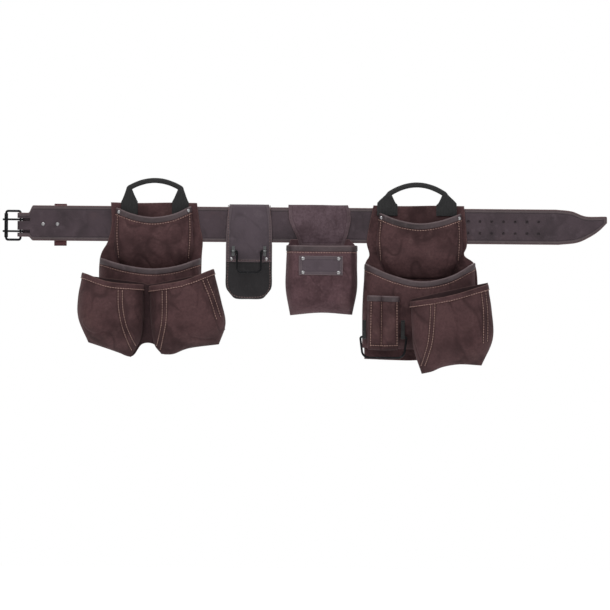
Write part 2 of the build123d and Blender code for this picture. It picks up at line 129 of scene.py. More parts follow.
# ---------------------------------------------------------------- shader node groups
def new_group(name, inputs, outputs):
    group = bpy.data.node_groups.new(name, "ShaderNodeTree")
    for label, kind, value in inputs:
        socket = group.interface.new_socket(label, in_out="INPUT", socket_type=kind)
        socket.default_value = value
    for label, kind in outputs:
        group.interface.new_socket(label, in_out="OUTPUT", socket_type=kind)
    return group, group.nodes.new("NodeGroupInput"), group.nodes.new("NodeGroupOutput")


def add(tree, kind, **settings):
    node = tree.nodes.new(kind)
    for key, value in settings.items():
        setattr(node, key, value)
    return node


def maths(tree, operation, first, second):
    node = add(tree, "ShaderNodeMath", operation=operation)
    for socket, value in zip(node.inputs, (first, second)):
        if isinstance(value, (int, float)):
            socket.default_value = value
        else:
            tree.links.new(value, socket)
    return node.outputs[0]


def mixed(tree, factor, first, second):
    node = add(tree, "ShaderNodeMix", data_type="RGBA")
    for socket, value in ((node.inputs[0], factor), (node.inputs[6], first), (node.inputs[7], second)):
        if isinstance(value, (int, float, tuple)):
            socket.default_value = value
        else:
            tree.links.new(value, socket)
    return node.outputs[2]


def noise_at(tree, vector, scale, detail=4.0, roughness=0.55):
    node = add(tree, "ShaderNodeTexNoise")
    node.inputs["Detail"].default_value = detail
    node.inputs["Roughness"].default_value = roughness
    if isinstance(scale, (int, float)):
        node.inputs["Scale"].default_value = scale
    else:
        tree.links.new(scale, node.inputs["Scale"])
    tree.links.new(vector, node.inputs["Vector"])
    return node.outputs["Fac"]


def stepped(tree, value, low, high):
    node = add(tree, "ShaderNodeMapRange", interpolation_type="SMOOTHSTEP")
    node.inputs["From Min"].default_value = low
    node.inputs["From Max"].default_value = high
    tree.links.new(value, node.inputs["Value"])
    return node.outputs["Result"]


def ranged(tree, value, low, high):
    """Stretches a value from 0 to 1 over a new range."""
    node = add(tree, "ShaderNodeMapRange")
    node.inputs["To Min"].default_value = low
    node.inputs["To Max"].default_value = high
    tree.links.new(value, node.inputs["Value"])
    return node.outputs["Result"]


def times(tree, first, second):
    return maths(tree, "MULTIPLY", first, second)


def below(tree, value, near, far):
    """1 up to near, fading to 0 at far."""
    return maths(tree, "SUBTRACT", 1.0, stepped(tree, value, near, far))


def make_mottle_group():
    """Large soft patches where oil has darkened or handling has lightened the hide."""
    group, source, sink = new_group(
        "hide_mottle",
        [("Vector", "NodeSocketVector", (0, 0, 0)), ("Base", "NodeSocketColor", (1, 1, 1, 1)),
         ("Dark", "NodeSocketColor", (0, 0, 0, 1)), ("Light", "NodeSocketColor", (1, 1, 1, 1)),
         ("Patch Scale", "NodeSocketFloat", 14.0)],
        [("Color", "NodeSocketColor"), ("Mask", "NodeSocketFloat")])
    vector = source.outputs["Vector"]
    patches = noise_at(group, vector, source.outputs["Patch Scale"], 5, 0.6)
    cloud = noise_at(group, vector, 55.0, 4, 0.6)
    dark = mixed(group, stepped(group, patches, 0.42, 0.68), source.outputs["Base"], source.outputs["Dark"])
    light = mixed(group, times(group, stepped(group, cloud, 0.52, 0.75), 0.55), dark,
                  source.outputs["Light"])
    group.links.new(light, sink.inputs["Color"])
    group.links.new(patches, sink.inputs["Mask"])
    return group


def make_nap_group():
    """Short suede nap: fine fibre, brushed patches and pinprick shadow."""
    group, source, sink = new_group(
        "suede_nap",
        [("Vector", "NodeSocketVector", (0, 0, 0)), ("Fibre Scale", "NodeSocketFloat", 900.0)],
        [("Height", "NodeSocketFloat"), ("Speckle", "NodeSocketFloat")])
    vector = source.outputs["Vector"]
    fibre = noise_at(group, vector, source.outputs["Fibre Scale"], 3, 0.7)
    brushed = noise_at(group, vector, 210.0, 5, 0.65)
    height = maths(group, "ADD", times(group, fibre, 0.6), times(group, brushed, 0.9))
    group.links.new(height, sink.inputs["Height"])
    group.links.new(stepped(group, brushed, 0.38, 0.66), sink.inputs["Speckle"])
    return group


def make_grain_group():
    """Smooth hide: pebble cells with fine creases between, and a few long scuffs."""
    group, source, sink = new_group(
        "leather_grain",
        [("Vector", "NodeSocketVector", (0, 0, 0)), ("Cell Scale", "NodeSocketFloat", 520.0)],
        [("Height", "NodeSocketFloat"), ("Scuff", "NodeSocketFloat")])
    vector = source.outputs["Vector"]
    cells = add(group, "ShaderNodeTexVoronoi", feature="SMOOTH_F1")
    group.links.new(vector, cells.inputs["Vector"])
    group.links.new(source.outputs["Cell Scale"], cells.inputs["Scale"])
    wander = noise_at(group, vector, 90.0, 4, 0.6)
    height = maths(group, "ADD", times(group, cells.outputs["Distance"], -0.8),
                   times(group, wander, 0.6))
    stretch = add(group, "ShaderNodeMapping")
    stretch.inputs["Scale"].default_value = (1.0, 1.0, 6.0)
    group.links.new(vector, stretch.inputs["Vector"])
    scuff = noise_at(group, stretch.outputs["Vector"], 26.0, 6, 0.7)
    group.links.new(height, sink.inputs["Height"])
    group.links.new(stepped(group, scuff, 0.56, 0.74), sink.inputs["Scuff"])
    return group


# ---------------------------------------------------------------- materials
def begin_material(name, roughness=0.7):
    material = bpy.data.materials.new(name)
    material.use_nodes = True
    tree = material.node_tree
    shader = tree.nodes["Principled BSDF"]
    shader.inputs["Roughness"].default_value = roughness
    place = tree.nodes.new("ShaderNodeTexCoord").outputs["Object"]
    return material, tree, shader, place


def place_group(tree, group, **values):
    node = add(tree, "ShaderNodeGroup", node_tree=group)
    for label, value in values.items():
        socket = node.inputs[label.replace("_", " ")]
        if hasattr(value, "is_linked"):
            tree.links.new(value, socket)
        else:
            socket.default_value = value
    return node


def bump(tree, shader, height, strength, distance):
    node = add(tree, "ShaderNodeBump")
    node.inputs["Strength"].default_value = strength
    node.inputs["Distance"].default_value = distance
    tree.links.new(height, node.inputs["Height"])
    tree.links.new(node.outputs["Normal"], shader.inputs["Normal"])


def make_wear_and_light_group():
    """Where a sheet's border is raw and rubbed; painted highlight on its crease ridge and painted shade in the
    crease groove; painted shade where the relief is low; proud folds lighter, partly rubbed wear and partly
    painted highlight.
    """
    group, source, sink = new_group(
        "edge_wear",
        [("Color", "NodeSocketColor", (1, 1, 1, 1)), ("Edge Color", "NodeSocketColor", (0, 0, 0, 1)),
         ("Groove Color", "NodeSocketColor", (0, 0, 0, 1)), ("Rim", "NodeSocketFloat", 1.0),
         ("Relief", "NodeSocketFloat", 0.0), ("Noise", "NodeSocketFloat", 0.5),
         ("Crease Depth", "NodeSocketFloat", 0.0),
         ("Border Color", "NodeSocketColor", (0.15, 0.118, 0.112, 1))],
        [("Color", "NodeSocketColor"), ("Height", "NodeSocketFloat")])
    rim, relief, crease = (source.outputs[label] for label in ("Rim", "Relief", "Crease Depth"))

    def tinted(shade, mask, strength, label):
        return mixed(group, times(group, mask, strength), shade, source.outputs[label])

    def line_along_rim(distance, width):
        away = maths(group, "ABSOLUTE", maths(group, "SUBTRACT", rim, distance), 0.0)
        return times(group, below(group, away, 0.0003, width), crease)

    fray = times(group, maths(group, "SUBTRACT", source.outputs["Noise"], 0.5), 0.0012)
    raw = below(group, maths(group, "ADD", rim, fray), 0.0005, 0.0018)
    border = times(group, below(group, rim, 0.0066, 0.0084), crease)
    # A lighter band along the border; the crease ridge takes a painted highlight and the crease groove painted
    # shade, over their bump.
    ridge = line_along_rim(0.0052, 0.0015)
    groove = line_along_rim(0.0088, 0.0016)
    # Low relief (folds, seams, hole rims, inner faces) takes painted shade; proud relief takes the edge colour,
    # partly rubbed wear and partly painted highlight.
    low = stepped(group, times(group, relief, -1.0), 0.05, 0.75)
    proud = stepped(group, relief, 0.15, 0.8)
    shade = tinted(source.outputs["Color"], raw, 0.75, "Edge Color")
    shade = tinted(shade, border, 0.16, "Border Color")
    shade = tinted(shade, ridge, 0.42, "Border Color")
    shade = tinted(shade, groove, 0.85, "Groove Color")
    shade = tinted(shade, low, 0.7, "Groove Color")
    shade = tinted(shade, proud, 0.16, "Edge Color")
    group.links.new(shade, sink.inputs["Color"])
    group.links.new(maths(group, "SUBTRACT", ridge, times(group, groove, 1.6)), sink.inputs["Height"])
    return group


def attribute(tree, name):
    return add(tree, "ShaderNodeAttribute", attribute_name=name).outputs["Fac"]


# Rubbed raw edges, plus painted highlight and painted shade along creases and folds, from the rim and relief
# attributes.
def worn(tree, colour, edge, groove, fuzz, crease):
    return place_group(tree, WEAR_AND_LIGHT, Color=colour, Edge_Color=edge, Groove_Color=groove,
                       Rim=attribute(tree, "rim"), Relief=attribute(tree, "relief"), Noise=fuzz,
                       Crease_Depth=crease)


def suede_material(name, base, dark, light, edge, crease=0.0):
    material, tree, shader, place = begin_material(name)
    mottle = place_group(tree, MOTTLE, Vector=place, Base=base, Dark=dark, Light=light, Patch_Scale=13.0)
    nap = place_group(tree, NAP, Vector=place)
    shade = mixed(tree, times(tree, nap.outputs["Speckle"], 0.4), mottle.outputs["Color"], dark)
    # wear holds rubbed edges together with painted shade and painted highlight in creases and folds.
    wear = worn(tree, shade, edge, dark, nap.outputs["Height"], crease)
    tree.links.new(wear.outputs["Color"], shader.inputs["Base Color"])
    tree.links.new(ranged(tree, mottle.outputs["Mask"], 0.68, 0.95), shader.inputs["Roughness"])
    shader.inputs["Sheen Weight"].default_value = 0.12
    shader.inputs["Sheen Roughness"].default_value = 0.4
    shader.inputs["Sheen Tint"].default_value = (0.7, 0.5, 0.5, 1)
    shader.inputs["Specular IOR Level"].default_value = 0.25
    bump(tree, shader, maths(tree, "ADD", nap.outputs["Height"], wear.outputs["Height"]), 0.6, 0.0007)
    return material


def smooth_leather_material(name, base, dark, light, edge, roughness, crease=1.0):
    material, tree, shader, place = begin_material(name, roughness)
    mottle = place_group(tree, MOTTLE, Vector=place, Base=base, Dark=dark, Light=light, Patch_Scale=7.0)
    grain = place_group(tree, GRAIN, Vector=place)
    rubbed = mixed(tree, times(tree, grain.outputs["Scuff"], 0.35), mottle.outputs["Color"], light)
    # wear holds rubbed edges together with painted shade and painted highlight in creases and folds.
    wear = worn(tree, rubbed, edge, dark, grain.outputs["Scuff"], crease)
    tree.links.new(wear.outputs["Color"], shader.inputs["Base Color"])
    rough = ranged(tree, grain.outputs["Scuff"], roughness, roughness + 0.2)
    tree.links.new(rough, shader.inputs["Roughness"])
    shader.inputs["Specular IOR Level"].default_value = 0.35
    bump(tree, shader, maths(tree, "ADD", grain.outputs["Height"], wear.outputs["Height"]), 0.4, 0.0005)
    return material


def steel_material(name, base, worn, roughness, metallic):
    material, tree, shader, place = begin_material(name, roughness)
    wear = noise_at(tree, place, 160.0, 6, 0.7)
    shade = mixed(tree, stepped(tree, wear, 0.56, 0.72), base, worn)
    tree.links.new(shade, shader.inputs["Base Color"])
    rough = ranged(tree, noise_at(tree, place, 420.0, 3, 0.6), roughness - 0.08, roughness + 0.15)
    tree.links.new(rough, shader.inputs["Roughness"])
    shader.inputs["Metallic"].default_value = metallic
    bump(tree, shader, wear, 0.12, 0.0003)
    return material


def webbing_material():
    material, tree, shader, _ = begin_material("black_webbing", 0.75)
    uv = add(tree, "ShaderNodeAttribute", attribute_name="weave").outputs["Vector"]

    def threads(direction, scale):
        wave = add(tree, "ShaderNodeTexWave", wave_type="BANDS", bands_direction=direction, wave_profile="SIN")
        wave.inputs["Scale"].default_value = scale
        tree.links.new(uv, wave.inputs["Vector"])
        return wave.outputs["Fac"]

    height = times(tree, threads("Y", 150.0), maths(tree, "ADD", threads("X", 95.0), 0.4))
    fuzz = noise_at(tree, uv, 300.0, 4, 0.7)
    # The weave's low threads are painted darker than its high ones: painted shade in the weave.
    shade = mixed(tree, stepped(tree, height, 0.1, 1.1), (0.006, 0.006, 0.0062, 1), (0.026, 0.025, 0.026, 1))
    shade = mixed(tree, times(tree, stepped(tree, fuzz, 0.55, 0.8), 0.4), shade, (0.05, 0.048, 0.047, 1))
    tree.links.new(shade, shader.inputs["Base Color"])
    shader.inputs["Sheen Weight"].default_value = 0.2
    bump(tree, shader, height, 0.7, 0.0006)
    return material


def thread_material(name, colour, dark):
    material, tree, shader, place = begin_material(name, 0.55)
    twist = noise_at(tree, place, 700.0, 2, 0.6)
    soil = noise_at(tree, place, 30.0, 3, 0.6)
    shade = mixed(tree, stepped(tree, soil, 0.4, 0.7), colour, dark)
    tree.links.new(shade, shader.inputs["Base Color"])
    bump(tree, shader, twist, 0.3, 0.0003)
    return material


def floor_material():
    material, tree, shader, place = begin_material("pale_floor", 0.9)
    shade = mixed(tree, noise_at(tree, place, 3.0), (0.93, 0.93, 0.93, 1), (0.96, 0.96, 0.96, 1))
    tree.links.new(shade, shader.inputs["Base Color"])
    shader.inputs["Specular IOR Level"].default_value = 0.0
    shader.inputs["Emission Color"].default_value = (1, 1, 1, 1)
    seen = add(tree, "ShaderNodeLightPath").outputs["Is Camera Ray"]
    tree.links.new(ranged(tree, seen, 0.05, 1.0), shader.inputs["Emission Strength"])
    return material


MOTTLE = make_mottle_group()
NAP = make_nap_group()
GRAIN = make_grain_group()
WEAR_AND_LIGHT = make_wear_and_light_group()
POCKET_SUEDE = suede_material("pocket_suede", (0.092, 0.044, 0.046, 1), (0.038, 0.017, 0.018, 1),
                              (0.128, 0.068, 0.068, 1), (0.16, 0.088, 0.08, 1))
# Half-bright copy of the pocket suede: painted shade for the nail panels set back behind the nail pockets.
SHADED_INNER_SUEDE = suede_material("inner_suede", (0.046, 0.022, 0.024, 1), (0.02, 0.01, 0.011, 1),
                             (0.07, 0.037, 0.038, 1), (0.11, 0.06, 0.056, 1))
TAPE_SUEDE = suede_material("tape_pouch_suede", (0.118, 0.062, 0.071, 1), (0.055, 0.027, 0.031, 1),
                            (0.155, 0.09, 0.1, 1), (0.19, 0.11, 0.11, 1))
LOOP_SUEDE = suede_material("tape_loop_suede", (0.158, 0.105, 0.124, 1), (0.06, 0.035, 0.042, 1),
                            (0.21, 0.148, 0.17, 1), (0.22, 0.15, 0.15, 1), 0.5)
BELT_LEATHER = smooth_leather_material("belt_leather", (0.068, 0.045, 0.055, 1), (0.034, 0.022, 0.027, 1),
                                       (0.096, 0.068, 0.081, 1), (0.16, 0.078, 0.075, 1), 0.5)
HOLDER_LEATHER = smooth_leather_material("holder_leather", (0.088, 0.064, 0.078, 1), (0.044, 0.031, 0.038, 1),
                                         (0.124, 0.094, 0.11, 1), (0.16, 0.112, 0.118, 1), 0.46, 0.45)
PLATE_LEATHER = smooth_leather_material("plate_leather", (0.024, 0.021, 0.023, 1), (0.012, 0.0105, 0.0115, 1),
                                        (0.042, 0.039, 0.041, 1), (0.07, 0.062, 0.062, 1), 0.4, 0.2)
BINDING_LEATHER = smooth_leather_material("binding_leather", (0.082, 0.057, 0.062, 1), (0.04, 0.027, 0.029, 1),
                                          (0.12, 0.09, 0.096, 1), (0.15, 0.105, 0.11, 1), 0.5, 0.0)
KEEPER_SUEDE = suede_material("keeper_suede", (0.095, 0.036, 0.039, 1), (0.048, 0.018, 0.02, 1),
                              (0.14, 0.06, 0.063, 1), (0.17, 0.08, 0.08, 1))
BLACK_STEEL = steel_material("black_steel", (0.012, 0.012, 0.0135, 1), (0.07, 0.07, 0.074, 1), 0.38, 0.8)
BRIGHT_STEEL = steel_material("bright_steel", (0.17, 0.175, 0.175, 1), (0.08, 0.078, 0.078, 1), 0.36, 1.0)
NICKEL = steel_material("rivet_nickel", (0.46, 0.45, 0.46, 1), (0.2, 0.19, 0.185, 1), 0.27, 1.0)
WEB = webbing_material()
TAN_THREAD = thread_material("tan_thread", (0.46, 0.285, 0.24, 1), (0.28, 0.165, 0.14, 1))
BROWN_THREAD = thread_material("brown_thread", (0.2, 0.125, 0.12, 1), (0.11, 0.066, 0.064, 1))
# a mouth turned over in its own suede, stitched through the fold
TURNED_EDGE = {"material": POCKET_SUEDE, "stitch_drop": -0.0016}


# ---------------------------------------------------------------- curves and surfaces
def line_at(dense, spots):
    """Points along a dense line at spots given as shares of its length."""
    dense = np.array(dense, float)
    steps = np.linalg.norm(np.diff(dense, axis=0), axis=1)
    travelled = np.concatenate([[0], np.cumsum(steps)])
    wanted = np.asarray(spots) * travelled[-1]
    return np.stack([np.interp(wanted, travelled, dense[:, i]) for i in range(dense.shape[1])], axis=1)


def smooth_line(points, spots):
    """Points on a smooth line through a few chosen ones."""
    points = np.array(points, float)
    if len(points) == 2:
        return line_at(points, spots)
    ends = np.vstack([2 * points[0] - points[1], points, 2 * points[-1] - points[-2]])
    dense = []
    for p0, p1, p2, p3 in zip(ends, ends[1:], ends[2:], ends[3:]):
        for t in np.linspace(0, 1, 30, endpoint=False):
            dense.append(0.5 * (2 * p1 + (p2 - p0) * t + (2 * p0 - 5 * p1 + 4 * p2 - p3) * t * t
                                + (3 * p1 - p0 - 3 * p2 + p3) * t ** 3))
    dense.append(points[-1])
    return line_at(dense, spots)


def rounded_path(points, radius):
    """Line through corner points with every corner rounded off."""
    points = [np.array(p, float) for p in points]
    dense = [points[0]]
    for before, corner, after in zip(points, points[1:], points[2:]):
        reach = min(radius, np.linalg.norm(corner - before) / 2, np.linalg.norm(after - corner) / 2)
        start = corner + (before - corner) / np.linalg.norm(before - corner) * reach
        finish = corner + (after - corner) / np.linalg.norm(after - corner) * reach
        for t in np.linspace(0, 1, 12):
            dense.append((1 - t) ** 2 * start + 2 * t * (1 - t) * corner + t * t * finish)
    dense.append(points[-1])
    return np.array(dense)


def clustered(count, share=0.8):
    """Spots from 0 to 1, closest together at both ends."""
    even = np.linspace(0, 1, count)
    return (1 - share) * even + share * (1 - np.cos(np.pi * even)) / 2


def placed(points, centre_x):
    """Outline in millimetres about a bag's middle, moved into place in metres."""
    return [(x * 0.001 + centre_x, z * 0.001) for x, z in points]


def placed_line(points, centre_x, count=80):
    return smooth_line(placed(points, centre_x), np.linspace(0, 1, count))


def distance_to(points, line):
    """How far each (x, z) point is from a line."""
    flat = points.reshape(-1, 1, 2)
    start = line[:-1][None]
    step = np.diff(line, axis=0)[None]
    along = ((flat - start) * step).sum(2) / np.maximum((step ** 2).sum(2), 1e-14)
    gap = np.linalg.norm(flat - start - np.clip(along, 0, 1)[..., None] * step, axis=2)
    return gap.min(axis=1).reshape(points.shape[:-1])


def round_over(distance, radius):
    reach = np.clip(distance / radius, 0, 1)
    return np.sqrt(np.clip(1 - (1 - reach) ** 2, 0, 1))


def smoothstep(value, low, high):
    share = np.clip((value - low) / (high - low), 0, 1)
    return share * share * (3 - 2 * share)


def filled(top, bottom, left, right):
    """Grid of points that fills four edge lines, rows running from top to bottom."""
    u = np.linspace(0, 1, len(top))[None, :, None]
    v = np.linspace(0, 1, len(left))[:, None, None]
    between_rows = (1 - v) * top[None] + v * bottom[None]
    between_columns = (1 - u) * left[:, None] + u * right[:, None]
    corners = (1 - u) * (1 - v) * top[0] + u * (1 - v) * top[-1] + (1 - u) * v * bottom[0] + u * v * bottom[-1]
    return between_rows + between_columns - corners


def grid_normals(grid):
    across = np.gradient(grid, axis=1)
    down = np.gradient(grid, axis=0)
    normals = np.cross(across, down)
    normals /= np.maximum(np.linalg.norm(normals, axis=2, keepdims=True), 1e-9)
    if normals[..., 1].mean() > 0:
        normals = -normals
    return normals


def new_piece(name, mesh, materials, smooth=True):
    piece = bpy.data.objects.new(name, mesh)
    bpy.context.scene.collection.objects.link(piece)
    for material in materials:
        mesh.materials.append(material)
    if smooth:
        mesh.shade_smooth()
    return piece


def capped_tube(name, grid):
    """Skin over a grid of points whose rows are rings, with a face at either end."""
    rows, ring = grid.shape[:2]
    faces = []
    for r in range(rows - 1):
        for c in range(ring):
            d = (c + 1) % ring
            faces.append((r * ring + c, r * ring + d, (r + 1) * ring + d, (r + 1) * ring + c))
    for r in (0, rows - 1):
        faces.append(tuple(range(r * ring, (r + 1) * ring)))
    mesh = bpy.data.meshes.new(name)
    mesh.from_pydata([tuple(p) for p in grid.reshape(-1, 3)], [], faces)
    work = bmesh.new()
    work.from_mesh(mesh)
    bmesh.ops.recalc_face_normals(work, faces=work.faces)
    work.to_mesh(mesh)
    work.free()
    return mesh


def recalculated(mesh):
    work = bmesh.new()
    work.from_mesh(mesh)
    bmesh.ops.remove_doubles(work, verts=work.verts, dist=1e-6)
    bmesh.ops.recalc_face_normals(work, faces=work.faces)
    work.to_mesh(mesh)
    work.free()
    return mesh


def finished(piece):
    """The piece with its modifiers made real."""
    graph = bpy.context.evaluated_depsgraph_get()
    mesh = bpy.data.meshes.new_from_object(piece.evaluated_get(graph))
    piece.modifiers.clear()
    piece.data = mesh
    return piece


# ---------------------------------------------------------------- stitches and rivets
def new_geometry_tree(name, sizes, finish):
    """A tree with one geometry in and out, named sizes and an input for its material."""
    tree = bpy.data.node_groups.new(name, "GeometryNodeTree")
    tree.interface.new_socket("Geometry", in_out="INPUT", socket_type="NodeSocketGeometry")
    for label, value in sizes:
        socket = tree.interface.new_socket(label, in_out="INPUT", socket_type="NodeSocketFloat")
        socket.default_value = value
    tree.interface.new_socket(finish, in_out="INPUT", socket_type="NodeSocketMaterial")
    tree.interface.new_socket("Geometry", in_out="OUTPUT", socket_type="NodeSocketGeometry")
    return tree, tree.nodes.new("NodeGroupInput"), tree.nodes.new("NodeGroupOutput")


def end_tree(tree, instances, material, sink):
    """Makes the instances real and gives them their material."""
    real = tree.nodes.new("GeometryNodeRealizeInstances")
    tree.links.new(instances, real.inputs["Geometry"])
    dressed = tree.nodes.new("GeometryNodeSetMaterial")
    tree.links.new(real.outputs["Geometry"], dressed.inputs["Geometry"])
    tree.links.new(material, dressed.inputs["Material"])
    tree.links.new(dressed.outputs["Geometry"], sink.inputs["Geometry"])


def stitch_tree():
    """Geometry nodes: a short round-ended stitch laid end to end along every line."""
    tree, source, sink = new_geometry_tree(
        "stitch_line", (("Stitch Length", STITCH), ("Gap", STITCH_GAP), ("Thread Radius", THREAD)), "Thread")
    link = tree.links.new
    line = tree.nodes.new("GeometryNodeMeshToCurve")
    link(source.outputs["Geometry"], line.inputs["Mesh"])
    pitch = maths(tree, "ADD", source.outputs["Stitch Length"], source.outputs["Gap"])
    spots = add(tree, "GeometryNodeCurveToPoints", mode="LENGTH")
    link(line.outputs["Curve"], spots.inputs["Curve"])
    link(pitch, spots.inputs["Length"])
    bead = tree.nodes.new("GeometryNodeMeshUVSphere")
    bead.inputs["Segments"].default_value = 6
    bead.inputs["Rings"].default_value = 5
    link(source.outputs["Thread Radius"], bead.inputs["Radius"])
    half = maths(tree, "DIVIDE", source.outputs["Stitch Length"], 2.0)
    stretch = tree.nodes.new("ShaderNodeCombineXYZ")
    stretch.inputs["X"].default_value = 1.0
    stretch.inputs["Y"].default_value = 1.0
    link(maths(tree, "DIVIDE", half, source.outputs["Thread Radius"]), stretch.inputs["Z"])
    laid = tree.nodes.new("GeometryNodeInstanceOnPoints")
    link(spots.outputs["Points"], laid.inputs["Points"])
    link(bead.outputs["Mesh"], laid.inputs["Instance"])
    link(spots.outputs["Rotation"], laid.inputs["Rotation"])
    link(stretch.outputs["Vector"], laid.inputs["Scale"])
    end_tree(tree, laid.outputs["Instances"], source.outputs["Thread"], sink)
    return tree


def rivet_tree():
    """Geometry nodes: a domed head with a raised ring on every point, facing the front."""
    tree, source, sink = new_geometry_tree(
        "rivet_heads", (("Head Radius", 0.0037), ("Dome Height", 0.0017)), "Metal")
    link = tree.links.new
    dome = tree.nodes.new("GeometryNodeMeshUVSphere")
    dome.inputs["Segments"].default_value = 20
    dome.inputs["Rings"].default_value = 12
    link(source.outputs["Head Radius"], dome.inputs["Radius"])
    squash = tree.nodes.new("ShaderNodeCombineXYZ")
    squash.inputs["X"].default_value = 1.0
    squash.inputs["Z"].default_value = 1.0
    flatness = maths(tree, "DIVIDE", source.outputs["Dome Height"], source.outputs["Head Radius"])
    link(flatness, squash.inputs["Y"])
    rim = tree.nodes.new("GeometryNodeMeshCylinder")
    rim.inputs["Vertices"].default_value = 20
    link(times(tree, source.outputs["Head Radius"], 1.12), rim.inputs["Radius"])
    link(times(tree, source.outputs["Dome Height"], 0.5), rim.inputs["Depth"])
    turned = tree.nodes.new("GeometryNodeTransform")
    turned.inputs["Rotation"].default_value = (math.pi / 2, 0, 0)
    link(rim.outputs["Mesh"], turned.inputs["Geometry"])
    flattened = tree.nodes.new("GeometryNodeTransform")
    link(dome.outputs["Mesh"], flattened.inputs["Geometry"])
    link(squash.outputs["Vector"], flattened.inputs["Scale"])
    joined = tree.nodes.new("GeometryNodeJoinGeometry")
    link(flattened.outputs["Geometry"], joined.inputs["Geometry"])
    link(turned.outputs["Geometry"], joined.inputs["Geometry"])
    placed = tree.nodes.new("GeometryNodeInstanceOnPoints")
    link(source.outputs["Geometry"], placed.inputs["Points"])
    link(joined.outputs["Geometry"], placed.inputs["Instance"])
    end_tree(tree, placed.outputs["Instances"], source.outputs["Metal"], sink)
    return tree


STITCH_TREE = stitch_tree()
RIVET_TREE = rivet_tree()


def grown(name, mesh, tree, values):
    """Runs a geometry node tree over a mesh and keeps the result as a plain piece."""
    piece = bpy.data.objects.new(name, mesh)
    bpy.context.scene.collection.objects.link(piece)
    modifier = piece.modifiers.new("grow", "NODES")
    modifier.node_group = tree
    sockets = {item.name: item.identifier for item in tree.interface.items_tree if item.in_out == "INPUT"}
    for label, value in values.items():
        modifier[sockets[label]] = value
    finished(piece)
    piece.data.shade_smooth()
    return piece


SEAMS = {}


def sew(body, line, thread=TAN_THREAD):
    """Remembers a line of stitches on a body."""
    SEAMS.setdefault((body, thread.name), []).append(np.array(line))


def lay_stitches():
    for (body, thread_name), lines in SEAMS.items():
        points, edges = [], []
        for line in lines:
            start = len(points)
            points += [tuple(p) for p in line]
            edges += [(start + i, start + i + 1) for i in range(len(line) - 1)]
        mesh = bpy.data.meshes.new(f"{body}_{thread_name}")
        mesh.from_pydata(points, edges, [])
        piece = grown(f"{body}_{thread_name}", mesh, STITCH_TREE, {"Thread": bpy.data.materials[thread_name]})
        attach(piece, body)


def set_rivets(node, body, spots):
    """Rivet heads on the front of a body, at (x, y, z) spots."""
    mesh = bpy.data.meshes.new(node)
    mesh.from_pydata([tuple(s) for s in spots], [], [])
    piece = grown(f"{node}_heads", mesh, RIVET_TREE, {"Metal": NICKEL})
    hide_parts(node)
    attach(piece, body)


def fronts_of(outer):
    normals = grid_normals(outer)
    flat, facing = outer.reshape(-1, 3), normals.reshape(-1, 3)
    keep = facing[:, 1] < -0.25
    tree = kdtree.KDTree(int(keep.sum()))
    for i, (point, normal) in enumerate(zip(flat[keep], facing[keep])):
        tree.insert((point[0], 0, point[2]), i)
    tree.balance()
    return tree, flat[keep], facing[keep]


def on_front(front, line, lift):
    """Lays (x, z) points on the front of a surface, raised a little."""
    tree, points, normals = front
    laid = []
    for x, z in line:
        near = tree.find_n((x, 0, z), 4)
        weights = np.array([1 / (gap + 1e-5) for _, _, gap in near])
        weights /= weights.sum()
        rows = [i for _, i, _ in near]
        y = float((points[rows, 1] * weights).sum())
        normal = (normals[rows] * weights[:, None]).sum(axis=0)
        laid.append(np.array([x, y, z]) + normal * lift)
    return np.array(laid)


# ---------------------------------------------------------------- leather
def give_attribute(mesh, name, values, kind="FLOAT"):
    attribute = mesh.attributes.new(name, kind, "POINT")
    field = "value" if kind == "FLOAT" else "vector"
    attribute.data.foreach_set(field, np.asarray(values, dtype=np.float32).ravel())


def double_mesh(name, outer, inner, rim, relief):
    """Closed mesh from an outer and an inner grid, joined round all four sides."""
    rows, columns = outer.shape[:2]
    size = rows * columns
    index = np.arange(size).reshape(rows, columns)
    faces = []
    for r in range(rows - 1):
        for c in range(columns - 1):
            quad = (index[r, c], index[r, c + 1], index[r + 1, c + 1], index[r + 1, c])
            faces.append(tuple(int(i) for i in quad))
            faces.append(tuple(int(i) + size for i in reversed(quad)))
    loop = list(index[0, :]) + list(index[1:, -1]) + list(index[-1, -2::-1]) + list(index[-2:0:-1, 0])
    for a, b in zip(loop, loop[1:] + loop[:1]):
        faces.append((int(b), int(a), int(a) + size, int(b) + size))
    mesh = bpy.data.meshes.new(name)
    points = np.concatenate([outer.reshape(-1, 3), inner.reshape(-1, 3)])
    mesh.from_pydata([tuple(p) for p in points], [], faces)
    give_attribute(mesh, "rim", np.concatenate([rim.ravel(), rim.ravel()]))
    # Every inner face gets a low relief, so it takes painted shade.
    give_attribute(mesh, "relief", np.concatenate([relief.ravel(), -0.3 + 0 * relief.ravel()]))
    return recalculated(mesh)


def wrinkles(grid, scale, seed, creases=0.5):
    """Soft folds and narrow creases of worn leather, from -1 to 1."""
    field = np.zeros(grid.shape[:2])
    shift = Vector((seed * 3.1, seed * 1.7, seed * 5.3))
    for r in range(grid.shape[0]):
        for c in range(grid.shape[1]):
            place = Vector(grid[r, c]) * scale + shift
            soft = noise.noise(place) + 0.5 * noise.noise(place * 2.1)
            bend = Vector((place.x * 1.3 + place.z * 0.5, place.y, place.z * 0.8 - place.x * 0.3))
            ridge = 1 - abs(noise.noise(bend * 1.1 + Vector((7, 2, 4))))
            field[r, c] = 0.8 * soft - creases * max(0, ridge - 0.88) / 0.12
    return field


def rim_distance(grid):
    """Distance of every grid point from the sheet's border, measured along the sheet."""
    across = np.zeros(grid.shape[:2])
    across[:, 1:] = np.cumsum(np.linalg.norm(np.diff(grid, axis=1), axis=2), axis=1)
    down = np.zeros(grid.shape[:2])
    down[1:] = np.cumsum(np.linalg.norm(np.diff(grid, axis=0), axis=2), axis=0)
    return np.minimum.reduce([across, across[:, -1:] - across, down, down[-1:] - down])


FRONTS = {}


